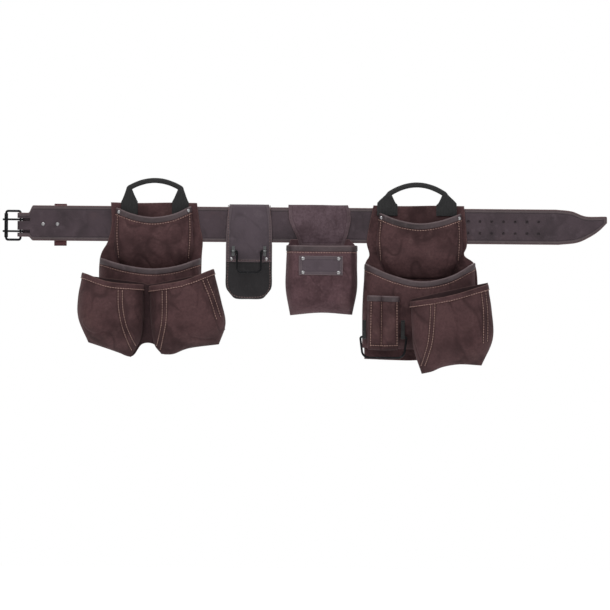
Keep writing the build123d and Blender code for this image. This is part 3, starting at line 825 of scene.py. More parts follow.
def slab(name, grid, thickness, material, edge=0.0012, wrinkle=0.0, scale=14.0, seed=1, painted_shade=None):
    """Sheet of leather with rounded edges about a middle surface."""
    rim = rim_distance(grid)
    relief = np.zeros(grid.shape[:2])
    normals = grid_normals(grid)
    if wrinkle > 0:
        # The wrinkle relief also tints the sheet: painted shade in its hollows, partly painted highlight on its
        # crests.
        relief = wrinkles(grid, scale, seed, 0.3) * smoothstep(rim, -0.004, 0.012)
        grid = grid + normals * (relief * wrinkle)[..., None]
        normals = grid_normals(grid)
    half = thickness / 2 * round_over(rim, edge)[..., None]
    # Lowers the relief at chosen spots so they take painted shade.
    if painted_shade is not None:
        relief = relief - painted_shade
    outer = grid + normals * half
    inner = grid - normals * half
    FRONTS[name] = fronts_of(outer)
    return new_piece(name, double_mesh(name, outer, inner, rim, relief), [material])


def flat_grid(top, bottom, left, right, y, rows=50, columns=60):
    across, down = clustered(columns), clustered(rows)
    plan = filled(smooth_line(top, across), smooth_line(bottom, across),
                  smooth_line(left, down), smooth_line(right, down))
    return np.stack([plan[..., 0], np.full(plan.shape[:2], y), plan[..., 1]], axis=2)


def folded_grid(path, x0, x1, rows=120, columns=40):
    """Strip whose side view follows a (y, z) path."""
    side = line_at(path, clustered(rows, 0.5))
    across = x0 + (x1 - x0) * clustered(columns)
    grid = np.zeros((rows, columns, 3))
    grid[..., 0] = across[None, :]
    grid[..., 1] = side[:, 0][:, None]
    grid[..., 2] = side[:, 1][:, None]
    return grid


def front_of(node):
    """How far forward a CAD node reaches."""
    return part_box(node)[0].y


def cover(piece, body, slot, *nodes):
    """Ties a finished piece to its body and hides the CAD nodes it stands for; the slot argument is not used.
    """
    if nodes:
        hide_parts(*nodes)
    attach(piece, body)
    return piece


# ---------------------------------------------------------------- pockets
def pocket_grid(spec, centre, rows, columns):
    across, down = clustered(columns, 0.85), clustered(rows, 0.6)
    fine = np.linspace(0, 1, 90)
    edges = {side: placed(spec[side], centre) for side in ("mouth", "left", "right", "bottom")}
    plan = filled(smooth_line(edges["mouth"], across), smooth_line(edges["bottom"], across),
                  smooth_line(edges["left"], down), smooth_line(edges["right"], down))
    swell = np.ones(plan.shape[:2])
    for side, radius in zip(("left", "right", "bottom"), spec["rounding"]):
        swell = swell * round_over(distance_to(plan, smooth_line(edges[side], fine)), radius)
    from_mouth = distance_to(plan, smooth_line(edges["mouth"], fine))
    height = plan[..., 1]
    toe = smoothstep(-height, -spec["belly_z"], -height.min())
    deep = spec["depth"] * (1 - spec["toe"] * toe) * (1 - spec["pinch"] * np.exp(-(from_mouth / 0.03) ** 2))
    deep = deep * (1 - 0.06 * (1 - np.sin(np.pi * np.linspace(0, 1, plan.shape[1])))[None, :])
    grid = np.stack([plan[..., 0], spec["back"] - deep * swell, height], axis=2)
    if "sections" in spec:
        grid[..., 1] = spec["back"] - (spec["back"] - grid[..., 1]) * spec["sections"](plan[..., 0] - centre)
    evenly = np.linspace(0, 1, columns)
    for r in range(rows):
        grid[r] = line_at(grid[r], evenly)
    evenly = np.linspace(0, 1, rows)
    for c in range(1, columns - 1):
        grid[:, c] = line_at(grid[:, c], evenly)
    return grid


def pocket_piece(name, spec, centre, body, material=POCKET_SUEDE, rows=84, columns=150):
    """Pocket: a sagging shell with its wrinkles, seams and stitches; bound_mouth binds its mouth."""
    grid = pocket_grid(spec, centre, rows, columns)
    normals = grid_normals(grid)
    hold = smoothstep(spec["back"] - grid[..., 1], 0.0, spec["depth"] * 0.7)
    # The wrinkle relief also tints the shell: painted shade in its valleys, partly painted highlight on its
    # crests.
    relief = wrinkles(grid, spec.get("wrinkle_scale", 17.0), spec["seed"])
    move = relief * spec.get("wrinkle", 0.0022) * hold
    seams = [placed_line(line, centre) for line in spec.get("seams", [])]
    plan = grid[..., [0, 2]]
    facing = normals[..., 1] < -0.2
    creases = [placed_line(line, centre) for line in spec.get("grooves", [])]
    # Seams and grooves dip into the shell and take painted shade along them.
    for seam in seams + creases:
        near = distance_to(plan, seam)
        move = move - facing * 0.0011 * np.exp(-(near / 0.0024) ** 2)
        relief = relief - facing * 0.9 * np.exp(-(near / 0.003) ** 2)
    # The listed sides take painted shade where the pocket turns in beside its neighbour.
    for side in spec.get("painted_shade_sides", ()):
        near = distance_to(plan, placed_line(spec[side], centre, 90))
        relief = relief - 1.3 * np.exp(-(near / 0.012) ** 2)
    grid = grid + normals * move[..., None]
    mouth_line = grid[0]
    tree = kdtree.KDTree(len(mouth_line))
    for i, point in enumerate(mouth_line):
        tree.insert(point, i)
    tree.balance()
    rim = np.array([tree.find(p)[2] for p in grid.reshape(-1, 3)]).reshape(grid.shape[:2])
    normals = grid_normals(grid)
    mesh = double_mesh(name, grid, grid - normals * SUEDE, rim + 0.004, relief)
    piece = new_piece(name, mesh, [material])
    cover(piece, body, "suede", spec["node"])
    front = fronts_of(grid)
    FRONTS[name] = front
    for seam in seams:
        sew(body, on_front(front, seam, THREAD * 0.4))
    return grid


def bound_mouth(name, grid, body, *nodes, width=BINDING_WIDTH, stitched=True, material=BINDING_LEATHER,
                stitch_drop=0.0022):
    """Leather folded over a pocket's mouth, following its sag."""
    normals = grid_normals(grid)
    proud = BINDING_PROUD
    deep = SUEDE + proud
    section = [(0.0075, -deep * 0.92), (0.004, -deep), (0.0004, -deep), (-0.0012, -deep * 0.72),
               (-0.0019, -SUEDE / 2), (-0.0014, proud * 0.45), (0.0002, proud), (width * 0.5, proud * 1.1),
               (width - 0.0022, proud), (width - 0.0006, proud * 0.6), (width, -0.0002)]
    columns = grid.shape[1]
    band = np.zeros((len(section), columns, 3))
    stitches = np.zeros((columns, 3))
    for c in range(columns):
        line, facing = grid[:, c], normals[:, c]
        travelled = np.concatenate([[0], np.cumsum(np.linalg.norm(np.diff(line, axis=0), axis=1))])
        upward = (line[0] - line[2]) / np.linalg.norm(line[0] - line[2])
        ruffle = 0.0004 * noise.noise(Vector(line[0]) * 90)

        def spot(distance, lift):
            if distance < 0:
                return line[0] - upward * distance + facing[0] * lift
            place = np.array([np.interp(distance, travelled, line[:, i]) for i in range(3)])
            normal = np.array([np.interp(distance, travelled, facing[:, i]) for i in range(3)])
            return place + normal / np.linalg.norm(normal) * lift

        for i, (distance, lift) in enumerate(section):
            band[i, c] = spot(distance, lift + (ruffle if lift > 0 else -ruffle))
        stitches[c] = spot(width + stitch_drop, THREAD * 0.4 + (proud if stitch_drop < 0 else 0) + ruffle)
    mesh = capped_tube(name, np.swapaxes(band, 0, 1))
    near_top = np.array([abs(distance + 0.0008) for distance, _ in section])
    give_attribute(mesh, "rim", np.tile(near_top, columns))
    piece = new_piece(name, mesh, [material])
    cover(piece, body, "smooth_leather", *nodes)
    if stitched:
        sew(body, stitches)
    return piece


def sheet_piece(name, node, body, slot, spec, centre, y, thickness, material, **looks):
    """A flat leather sheet in place of a CAD node."""
    grid = flat_grid(placed(spec["top"], centre), placed(spec["bottom"], centre),
                     placed(spec["left"], centre), placed(spec["right"], centre), y,
                     looks.pop("rows", 50), looks.pop("columns", 60))
    piece = slab(name, grid, thickness, material, **looks)
    return cover(piece, body, slot, *([node] if node else []))


def tunnel_piece(bag):
    """Strip of leather the belt runs behind, turned in to the panel over and under it."""
    low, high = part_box(f"{bag}_tunnel")
    middle = 0.0014
    path = rounded_path([(low.y, low.z + middle), (high.y - middle, low.z + middle),
                         (high.y - middle, high.z - middle), (low.y, high.z - middle)], 0.004)
    grid = folded_grid(path, low.x, high.x, 110, 50)
    piece = slab(f"{bag}_belt_tunnel", grid, 0.0026, POCKET_SUEDE, wrinkle=0.0004, scale=22.0, seed=5)
    return cover(piece, bag, "suede", f"{bag}_tunnel")


# ---------------------------------------------------------------- webbing
def webbing_handle(bag, span, foot_width, grip_span, apex_z):
    """Flat woven strap, lying flat at its ends and folded into a round grip in the middle."""
    low_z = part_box(f"{bag}_handle_feet")[0].z
    grip_low, grip_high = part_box(f"{bag}_handle")
    hinge_z, crown_z = grip_low.z + 0.0012, grip_high.z - 0.0052
    centre, y = (grip_low.x + grip_high.x) / 2, (grip_low.y + grip_high.y) / 2
    half_span, half_grip = span / 2 - foot_width / 2, grip_span / 2
    arch = [(half_grip * t, crown_z - (crown_z - apex_z) * t * t) for t in np.linspace(1, 0, 24)]
    path = [(half_span, low_z), (half_span, hinge_z)] + arch
    path = [(-x, z) for x, z in path] + list(reversed(path[:-1]))
    rows, ring = 240, 36
    bent = rounded_path([(x + centre, z) for x, z in path], 0.006)
    line = line_at(bent, np.linspace(0, 1, rows))
    along = np.concatenate([[0], np.cumsum(np.linalg.norm(np.diff(line, axis=0), axis=1))])
    tangent = np.gradient(line, axis=0)
    tangent /= np.linalg.norm(tangent, axis=1)[:, None]
    grid = np.zeros((rows, ring, 3))
    weave = np.zeros((rows, ring, 3))
    angles = np.linspace(0, 2 * np.pi, ring, endpoint=False)
    for r in range(rows):
        x, z = line[r]
        out_of_foot = min(along[r], along[-1] - along[r])
        foot_length = hinge_z - low_z
        flare = np.clip((out_of_foot - foot_length) / (apex_z - hinge_z), 0, 1)
        folded = float(smoothstep(flare, 0.1, 1.0))
        width = foot_width / 2 * (1 - flare ** 0.85) + 0.0056 * flare ** 0.85
        thick = WEBBING / 2 * (1 - folded) + 0.0048 * folded
        square = 5.0 * (1 - folded) + 2.2 * folded
        lumps = 1 + 0.03 * folded * noise.noise(Vector((x * 80, 0, z * 80)))
        across = np.sign(np.cos(angles)) * np.abs(np.cos(angles)) ** (2 / square) * width * lumps
        depth = np.sign(np.sin(angles)) * np.abs(np.sin(angles)) ** (2 / square) * thick * lumps
        side = (-tangent[r][1], tangent[r][0])
        grid[r, :, 0] = x + across * side[0]
        grid[r, :, 2] = z + across * side[1]
        grid[r, :, 1] = y + depth
        weave[r, :, 0] = across
        weave[r, :, 1] = along[r]
    mesh = capped_tube(f"{bag}_webbing", grid)
    give_attribute(mesh, "weave", weave.reshape(-1, 3), "FLOAT_VECTOR")
    piece = new_piece(f"{bag}_webbing", mesh, [WEB])
    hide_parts(f"{bag}_handle", f"{bag}_handle_feet")
    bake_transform(piece)
    return piece


def paint_steel():
    """The steel parts keep their exact shape and take a worn finish."""
    finishes = {
        "buckle_frame": BLACK_STEEL, "buckle_roller": BLACK_STEEL, "buckle_prong_upper": BLACK_STEEL,
        "buckle_prong_lower": BLACK_STEEL, "holder_steel_loop": BLACK_STEEL,
        "right_bag_hammer_loop": BLACK_STEEL, "holder_loop_clips": BRIGHT_STEEL,
    }
    for name, material in finishes.items():
        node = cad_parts[name]
        node.data.materials.clear()
        node.data.materials.append(material)


# ---------------------------------------------------------------- left bag
def build_left_bag():
    panel_low, panel_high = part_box("left_bag_back_panel")
    centre = panel_low.x + 0.116
    panel_y = (panel_low.y + panel_high.y) / 2
    panel_front = panel_low.y
    upper_depth = panel_front - front_of("left_bag_upper_pocket")
    middle_depth = panel_front - front_of("left_bag_middle_pocket")
    nail_back = front_of("left_bag_nail_panel")
    nail_depth = nail_back - front_of("left_bag_nail_pocket_left")
    body = "left_bag"
    sheet_piece("left_bag_back", "left_bag_back_panel", body, "suede", {
        "top": [(-92, 46), (-30, 45), (40, 46.5), (94, 46)],
        "left": [(-92, 46), (-90, 0), (-98, -38), (-115, -76), (-116, -160), (-114, -250)],
        "right": [(94, 46), (100, 0), (107, -35), (105, -76), (104, -160), (102, -250)],
        "bottom": [(-114, -250), (0, -251), (102, -250)],
    }, centre, panel_y, BACK_PANEL, POCKET_SUEDE, rows=70, columns=60, wrinkle=0.0006, scale=16.0, seed=3)
    tunnel_piece(body)
    upper = pocket_piece("left_bag_upper_leather", {
        "mouth": [(-80, 33), (-42, 19), (-1, 13), (42, 20), (81, 37)],
        "left": [(-80, 33), (-84, -15), (-83, -60), (-60, -108)],
        "right": [(81, 37), (86, -15), (85, -60), (60, -108)],
        "bottom": [(-60, -108), (0, -111), (60, -108)],
        "rounding": (0.02, 0.02, 0.05), "depth": upper_depth, "belly_z": -0.05, "toe": 0.5, "pinch": 0.08,
        "back": panel_front, "seed": 1, "node": "left_bag_upper_pocket",
        "seams": [[(-77, 20), (-78, -30), (-74, -72)], [(78, 22), (79, -30), (76, -72)]],
    }, centre, body)
    bound_mouth("left_bag_upper_edge", upper, body, "left_bag_upper_binding")
    middle = pocket_piece("left_bag_middle_leather", {
        "mouth": [(-114, -76), (-60, -91), (-4, -98), (50, -92), (102, -75)],
        "left": [(-114, -76), (-116, -160), (-112, -242)],
        "right": [(102, -75), (104, -160), (100, -242)],
        "bottom": [(-112, -242), (-6, -244), (100, -242)],
        "rounding": (0.03, 0.03, 0.03), "depth": middle_depth, "belly_z": -0.2, "toe": 0.15, "pinch": 0.05,
        "back": panel_front, "seed": 2, "node": "left_bag_middle_pocket",
    }, centre, body, rows=60)
    bound_mouth("left_bag_middle_edge", middle, body, "left_bag_middle_binding")
    # The nail panel takes the shaded suede: painted shade.
    sheet_piece("left_bag_nail_back", "left_bag_nail_panel", body, "suede", {
        "top": [(-152, -106), (-90, -113), (-24, -121), (-4, -124), (66, -110), (131, -96)],
        "left": [(-152, -112), (-161, -160), (-160, -205), (-138, -257)],
        "right": [(131, -102), (146, -164), (154, -214), (140, -257)],
        "bottom": [(-138, -257), (-90, -270), (-46, -287), (-22, -260), (4, -260), (28, -282), (80, -266),
                   (140, -257)],
    }, centre, nail_back + 0.0012, NAIL_SHEET, SHADED_INNER_SUEDE, rows=50, columns=90)
    left_nail = pocket_piece("left_bag_nail_leather_left", {
        "mouth": [(-152, -108), (-95, -127), (-21, -133)],
        "left": [(-152, -108), (-160, -160), (-160, -205), (-138, -257)],
        "right": [(-21, -133), (-19, -190), (-24, -245), (-46, -288)],
        "bottom": [(-138, -257), (-92, -272), (-46, -288)],
        "rounding": (0.03, 0.05, 0.04), "depth": nail_depth, "belly_z": -0.205, "toe": 0.42, "pinch": 0.1,
        "back": nail_back, "seed": 4, "node": "left_bag_nail_pocket_left", "wrinkle": 0.003,
        "painted_shade_sides": ("right",),
        "seams": [[(-74, -146), (-73, -180), (-66, -218), (-54, -252), (-45, -272)],
                  [(-65, -146), (-64, -180), (-57, -216), (-45, -246), (-36, -262)]],
    }, centre, body)
    bound_mouth("left_bag_nail_edge_left", left_nail, body, "left_bag_nail_binding_left", **TURNED_EDGE)
    right_nail = pocket_piece("left_bag_nail_leather_right", {
        "mouth": [(-7, -136), (66, -123), (131, -98)],
        "left": [(-7, -136), (-4, -200), (3, -256), (20, -281)],
        "right": [(131, -98), (148, -164), (158, -214), (144, -259)],
        "bottom": [(20, -281), (45, -281), (80, -268), (144, -259)],
        "rounding": (0.045, 0.045, 0.035), "depth": nail_depth, "belly_z": -0.205, "toe": 0.42, "pinch": 0.1,
        "back": nail_back, "seed": 6, "node": "left_bag_nail_pocket_right", "wrinkle": 0.003,
        "painted_shade_sides": ("left",),
        "seams": [[(21, -141), (21, -205), (13, -250), (10, -262)],
                  [(30, -141), (30, -205), (22, -252), (18, -270)],
                  [(118, -120), (134, -160), (147, -198)], [(109, -123), (125, -163), (138, -203)]],
    }, centre, body)
    bound_mouth("left_bag_nail_edge_right", right_nail, body, "left_bag_nail_binding_right", **TURNED_EDGE)
    spots = on_front(FRONTS["left_bag_upper_leather"], placed([(-73, 25), (74, 29)], centre), BINDING_PROUD)
    set_rivets("left_bag_rivets", body, spots)
    webbing_handle(body, 0.146, 0.036, 0.112, 0.077)


def build_right_bag():
    panel_low, panel_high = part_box("right_bag_back_panel")
    centre = panel_low.x + 0.124
    panel_y = (panel_low.y + panel_high.y) / 2
    panel_front = panel_low.y
    upper_depth = panel_front - front_of("right_bag_upper_pocket")
    middle_depth = panel_front - front_of("right_bag_middle_pocket")
    middle_front = front_of("right_bag_middle_pocket")
    slot_depth = middle_front - front_of("right_bag_tool_slots")
    nail_back = front_of("right_bag_nail_panel")
    nail_depth = nail_back - front_of("right_bag_nail_pocket")
    body = "right_bag"
    sheet_piece("right_bag_back", "right_bag_back_panel", body, "suede", {
        "top": [(-105, 44), (-40, 43), (30, 44.5), (91, 44)],
        "left": [(-105, 44), (-113, 4), (-119, -36), (-113, -64), (-123, -90), (-124, -180), (-122, -288)],
        "right": [(91, 44), (98, -36), (92, -62), (116, -84), (122, -140), (119, -200), (118, -272)],
        "bottom": [(-122, -288), (-60, -290), (-10, -290), (60, -282), (118, -272)],
    }, centre, panel_y, BACK_PANEL, POCKET_SUEDE, rows=80, columns=60, wrinkle=0.0006, scale=16.0, seed=8)
    tunnel_piece(body)
    upper = pocket_piece("right_bag_upper_leather", {
        "mouth": [(-91, 26), (-50, 11), (-4, 4), (42, 11), (84, 26)],
        "left": [(-91, 26), (-97, -20), (-96, -60), (-72, -112)],
        "right": [(84, 26), (88, -20), (86, -60), (64, -112)],
        "bottom": [(-72, -112), (0, -114), (64, -112)],
        "rounding": (0.02, 0.02, 0.05), "depth": upper_depth, "belly_z": -0.05, "toe": 0.5, "pinch": 0.08,
        "back": panel_front, "seed": 9, "node": "right_bag_upper_pocket",
        "seams": [[(-88, 12), (-91, -30), (-88, -74)], [(79, 12), (81, -30), (79, -72)]],
    }, centre, body)
    bound_mouth("right_bag_upper_edge", upper, body, "right_bag_upper_binding")
    middle = pocket_piece("right_bag_middle_leather", {
        "mouth": [(-122, -84), (-60, -109), (0, -121), (60, -110), (115, -80)],
        "left": [(-122, -84), (-127, -170), (-127, -264)],
        "right": [(115, -80), (117, -170), (112, -264)],
        "bottom": [(-127, -264), (-8, -267), (112, -264)],
        "rounding": (0.03, 0.03, 0.03), "depth": middle_depth, "belly_z": -0.22, "toe": 0.15, "pinch": 0.05,
        "back": panel_front, "seed": 10, "node": "right_bag_middle_pocket",
    }, centre, body, rows=70)
    bound_mouth("right_bag_middle_edge", middle, body, "right_bag_middle_binding")

    def two_slots(x):
        narrow = np.sin(np.pi * np.clip((x + 0.116) / 0.030, 0, 1))
        wide = np.sin(np.pi * np.clip((x + 0.086) / 0.038, 0, 1))
        return 0.5 + 0.5 * np.maximum(narrow, wide) ** 0.6

    slots = pocket_piece("right_bag_slot_leather", {
        "mouth": [(-116, -152), (-82, -153), (-48, -154)],
        "left": [(-116, -152), (-116, -210), (-115, -268)],
        "right": [(-48, -154), (-48, -210), (-49, -268)],
        "bottom": [(-115, -268), (-82, -269), (-49, -268)],
        "rounding": (0.004, 0.004, 0.02), "depth": slot_depth, "belly_z": -0.24, "toe": 0.3, "pinch": 0.0,
        "back": middle_front, "seed": 11, "node": "right_bag_tool_slots", "sections": two_slots,
        "wrinkle": 0.0012,
        "seams": [[(-108, -166), (-109, -258)], [(-86, -166), (-86, -258)], [(-53, -166), (-52, -258)],
                  [(-108, -258), (-80, -259), (-52, -258)]],
    }, centre, body, rows=70, columns=90)
    bound_mouth("right_bag_slot_edge", slots, body, width=0.011, stitched=False)
    # The nail panel takes the shaded suede: painted shade.
    sheet_piece("right_bag_nail_back", "right_bag_nail_panel", body, "suede", {
        "top": [(-23, -158), (62, -138), (143, -121)],
        "left": [(-23, -158), (-20, -220), (-15, -268), (4, -312)],
        "right": [(143, -121), (151, -180), (153, -240), (130, -294)],
        "bottom": [(4, -312), (26, -309), (48, -300), (84, -293), (130, -294)],
    }, centre, nail_back + 0.0012, NAIL_SHEET, SHADED_INNER_SUEDE, rows=50, columns=60)
    nail = pocket_piece("right_bag_nail_leather", {
        "mouth": [(-23, -165), (62, -151), (143, -126)],
        "left": [(-23, -165), (-20, -220), (-15, -268), (2, -319)],
        "right": [(143, -126), (152, -180), (155, -242), (131, -300)],
        "bottom": [(2, -319), (24, -314), (48, -304), (84, -298), (131, -300)],
        "rounding": (0.04, 0.04, 0.045), "depth": nail_depth, "belly_z": -0.23, "toe": 0.42, "pinch": 0.1,
        "back": nail_back, "seed": 12, "node": "right_bag_nail_pocket", "wrinkle": 0.0032,
        "wrinkle_scale": 15.0,
        "seams": [[(20, -164), (19, -200), (15, -250), (5, -288), (1, -300)],
                  [(29, -164), (28, -200), (24, -248), (14, -286), (9, -300)],
                  [(138, -140), (143, -190), (143, -246)], [(129, -142), (134, -190), (134, -250)]],
    }, centre, body, rows=96)
    bound_mouth("right_bag_nail_edge", nail, body, "right_bag_nail_binding", **TURNED_EDGE)
    spots = on_front(FRONTS["right_bag_upper_leather"], placed([(-86, 17), (79, 17)], centre), BINDING_PROUD)
    set_rivets("right_bag_rivets", body, spots)
    webbing_handle(body, 0.172, 0.044, 0.120, 0.069)
    build_loop_tabs(body)


def build_loop_tabs(body):
    """Two webbing tabs folded round the hammer loop's pins."""
    tabs_low, tabs_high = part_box("right_bag_loop_tabs")
    loop_low, loop_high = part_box("right_bag_hammer_loop")
    pin_y, pin_z = loop_high.y - 0.0023, loop_high.z - 0.0023
    back = front_of("right_bag_middle_pocket")
    turn = 0.0036
    arc = [(pin_y + turn * math.cos(a), pin_z + turn * math.sin(a))
           for a in np.linspace(math.radians(60), math.radians(-240), 40)]
    path = [(back - 0.0012, tabs_high.z), (back - 0.0012, pin_z + 0.012)] + arc
    path = path + [(back - 0.0034, pin_z + 0.012), (back - 0.0034, tabs_high.z - 0.004)]
    pieces = []
    for x0, x1 in ((tabs_low.x, tabs_low.x + 0.008), (tabs_high.x - 0.008, tabs_high.x)):
        grid = folded_grid(np.array(path), x0, x1, 110, 14)
        side = "left" if not pieces else "right"
        piece = slab(f"hammer_loop_tab_{side}", grid, 0.002, WEB, edge=0.0008)
        pieces.append(cover(piece, body, "webbing"))
    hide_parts("right_bag_loop_tabs")


# ---------------------------------------------------------------- hammer holder and tape pouch
def build_holder():
    low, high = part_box("holder_belt_loop")
    plate_low, plate_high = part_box("holder_backing_plate")
    centre = (low.x + high.x) / 2
    body = "holder"
    half = 0.00165
    path = rounded_path([(low.y + half, low.z), (low.y + half, high.z - half), (high.y - half, high.z - half),
                         (high.y - half, -0.062)], 0.0045)
    grid = folded_grid(path, -1.0, 1.0, 150, 60)
    half_width = np.interp(grid[..., 2], [-0.082, -0.02, 0.012, 0.036, 0.044],
                           [0.05, 0.0495, 0.048, 0.0445, 0.0425])
    grid[..., 0] = centre + grid[..., 0] * half_width
    piece = slab("holder_loop_leather", grid, 0.0031, HOLDER_LEATHER, wrinkle=0.0004, scale=14.0, seed=14)
    cover(piece, body, "smooth_leather", "holder_belt_loop")
    cut = 22
    plate = {
        "top": [(-50, plate_high.z * 1000), (50, plate_high.z * 1000)],
        "left": [(-50, plate_high.z * 1000), (-50, -100), (-49.5, -134), (-40, -150)],
        "right": [(50, plate_high.z * 1000), (50, -100), (49.5, -134), (40, -150)],
        "bottom": [(-40, -150), (-50 + cut, -160), (0, -161), (50 - cut, -160), (40, -150)],
    }
    middle_y = (plate_low.y + plate_high.y) / 2
    sheet_piece("holder_plate_leather", "holder_backing_plate", body, "smooth_leather", plate, centre, middle_y,
                plate_high.y - plate_low.y - 0.0004, PLATE_LEATHER, rows=60, columns=50, edge=0.0018,
                wrinkle=0.0004, seed=15)
    front = FRONTS["holder_loop_leather"]
    for side in (-1, 1):
        line = placed_line([(side * 45, 40), (side * 45, -77)], centre)
        sew(body, on_front(front, line, THREAD * 0.3), BROWN_THREAD)
    line = placed_line([(-45, -77), (45, -77)], centre)
    sew(body, on_front(front, line, THREAD * 0.3), BROWN_THREAD)
    plate_front = FRONTS["holder_plate_leather"]
    edge = [(-45, -84), (-45, -134), (-26, -155), (26, -155), (45, -134), (45, -84)]
    line = placed_line(edge, centre, 160)
    sew(body, on_front(plate_front, line, THREAD * 0.3), BROWN_THREAD)
    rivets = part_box("holder_rivets")
    x0, x1 = rivets[0].x + RIVET_INSET, rivets[1].x - RIVET_INSET
    z = (rivets[0].z + rivets[1].z) / 2
    set_rivets("holder_rivets", body, on_front(front, [(x0, z), (x1, z)], 0.0))


def build_tape_pouch():
    low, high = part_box("tape_belt_loop")
    pocket_low, pocket_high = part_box("tape_pocket")
    panel_low, panel_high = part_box("tape_back_panel")
    centre = (pocket_low.x + pocket_high.x) / 2
    body = "tape_pouch"
    half = 0.0014
    path = rounded_path([(low.y + half, -0.047), (low.y + half, high.z - half), (high.y - half, high.z - half),
                         (high.y - half, -0.062)], 0.0045)
    grid = folded_grid(path, 0.0, 1.0, 150, 60)
    height = grid[..., 2]
    left = np.interp(height, [-0.062, -0.047, -0.028, -0.008, 0.012, 0.044],
                     [-0.05, -0.048, -0.053, -0.063, -0.071, -0.073])
    right = np.interp(height, [-0.062, -0.047, -0.02, 0.01, 0.03, 0.044],
                      [0.044, 0.047, 0.056, 0.0625, 0.061, 0.056])
    grid[..., 0] = centre + left + (right - left) * grid[..., 0]
    piece = slab("tape_loop_leather", grid, 0.0027, LOOP_SUEDE, wrinkle=0.0006, scale=15.0, seed=17)
    cover(piece, body, "suede", "tape_belt_loop")
    sheet_piece("tape_back_leather", "tape_back_panel", body, "suede", {
        "top": [(-67, -31), (60, -30)],
        "left": [(-67, -31), (-74, -50), (-77, -95), (-77, -140), (-67, -195)],
        "right": [(60, -30), (75, -50), (77, -95), (77, -140), (67, -193)],
        "bottom": [(-67, -195), (0, -189), (67, -193)],
    }, centre, (panel_low.y + panel_high.y) / 2 + 0.0004, 0.0021, TAPE_SUEDE, rows=60, columns=50)
    spacer_low, spacer_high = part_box("tape_loop_spacer")
    sheet_piece("tape_spacer_leather", "tape_loop_spacer", body, "suede", {
        "top": [(-50, spacer_high.z * 1000), (50, spacer_high.z * 1000)],
        "bottom": [(-50, spacer_low.z * 1000), (50, spacer_low.z * 1000)],
        "left": [(-50, spacer_high.z * 1000), (-50, spacer_low.z * 1000)],
        "right": [(50, spacer_high.z * 1000), (50, spacer_low.z * 1000)],
    }, centre, (spacer_low.y + spacer_high.y) / 2, spacer_high.y - spacer_low.y, POCKET_SUEDE,
                rows=24, columns=30)
    depth = panel_low.y - pocket_low.y
    pocket = pocket_piece("tape_pocket_leather", {
        "mouth": [(-75, -45), (0, -45.6), (76, -45)],
        "left": [(-75, -45), (-77, -95), (-77, -140), (-67, -195)],
        "right": [(76, -45), (77, -95), (77, -140), (67, -193)],
        "bottom": [(-67, -195), (0, -189), (67, -193)],
        "rounding": (0.018, 0.018, 0.03), "depth": depth, "belly_z": -0.125, "toe": 0.25, "pinch": 0.04,
        "back": panel_low.y, "seed": 18, "node": "tape_pocket", "wrinkle": 0.0018,
        "grooves": [[(68, -58), (69, -120), (64, -188)]],
    }, centre, body, rows=80, material=TAPE_SUEDE)
    bound_mouth("tape_pocket_edge", pocket, body, "tape_binding")
    front = FRONTS["tape_pocket_leather"]
    across, down = clustered(48), clustered(32)
    plan = filled(smooth_line(placed([(-49, -66), (46, -66)], centre), across),
                  smooth_line(placed([(-49, -108), (46, -108)], centre), across),
                  smooth_line(placed([(-49, -66), (-49.5, -87), (-49, -108)], centre), down),
                  smooth_line(placed([(46, -66), (46.5, -87), (46, -108)], centre), down))
    grid = on_front(front, plan.reshape(-1, 2), 0.0008).reshape(32, 48, 3)
    patch = slab("tape_patch_leather", grid, 0.0022, HOLDER_LEATHER, wrinkle=0.0004, seed=19)
    cover(patch, body, "smooth_leather", "tape_patch")
    patch_front = FRONTS["tape_patch_leather"]
    spots = placed([(x, z) for x in (-40, 37) for z in (-72, -102)], centre)
    set_rivets("tape_rivets", body, on_front(patch_front, spots, 0.0))


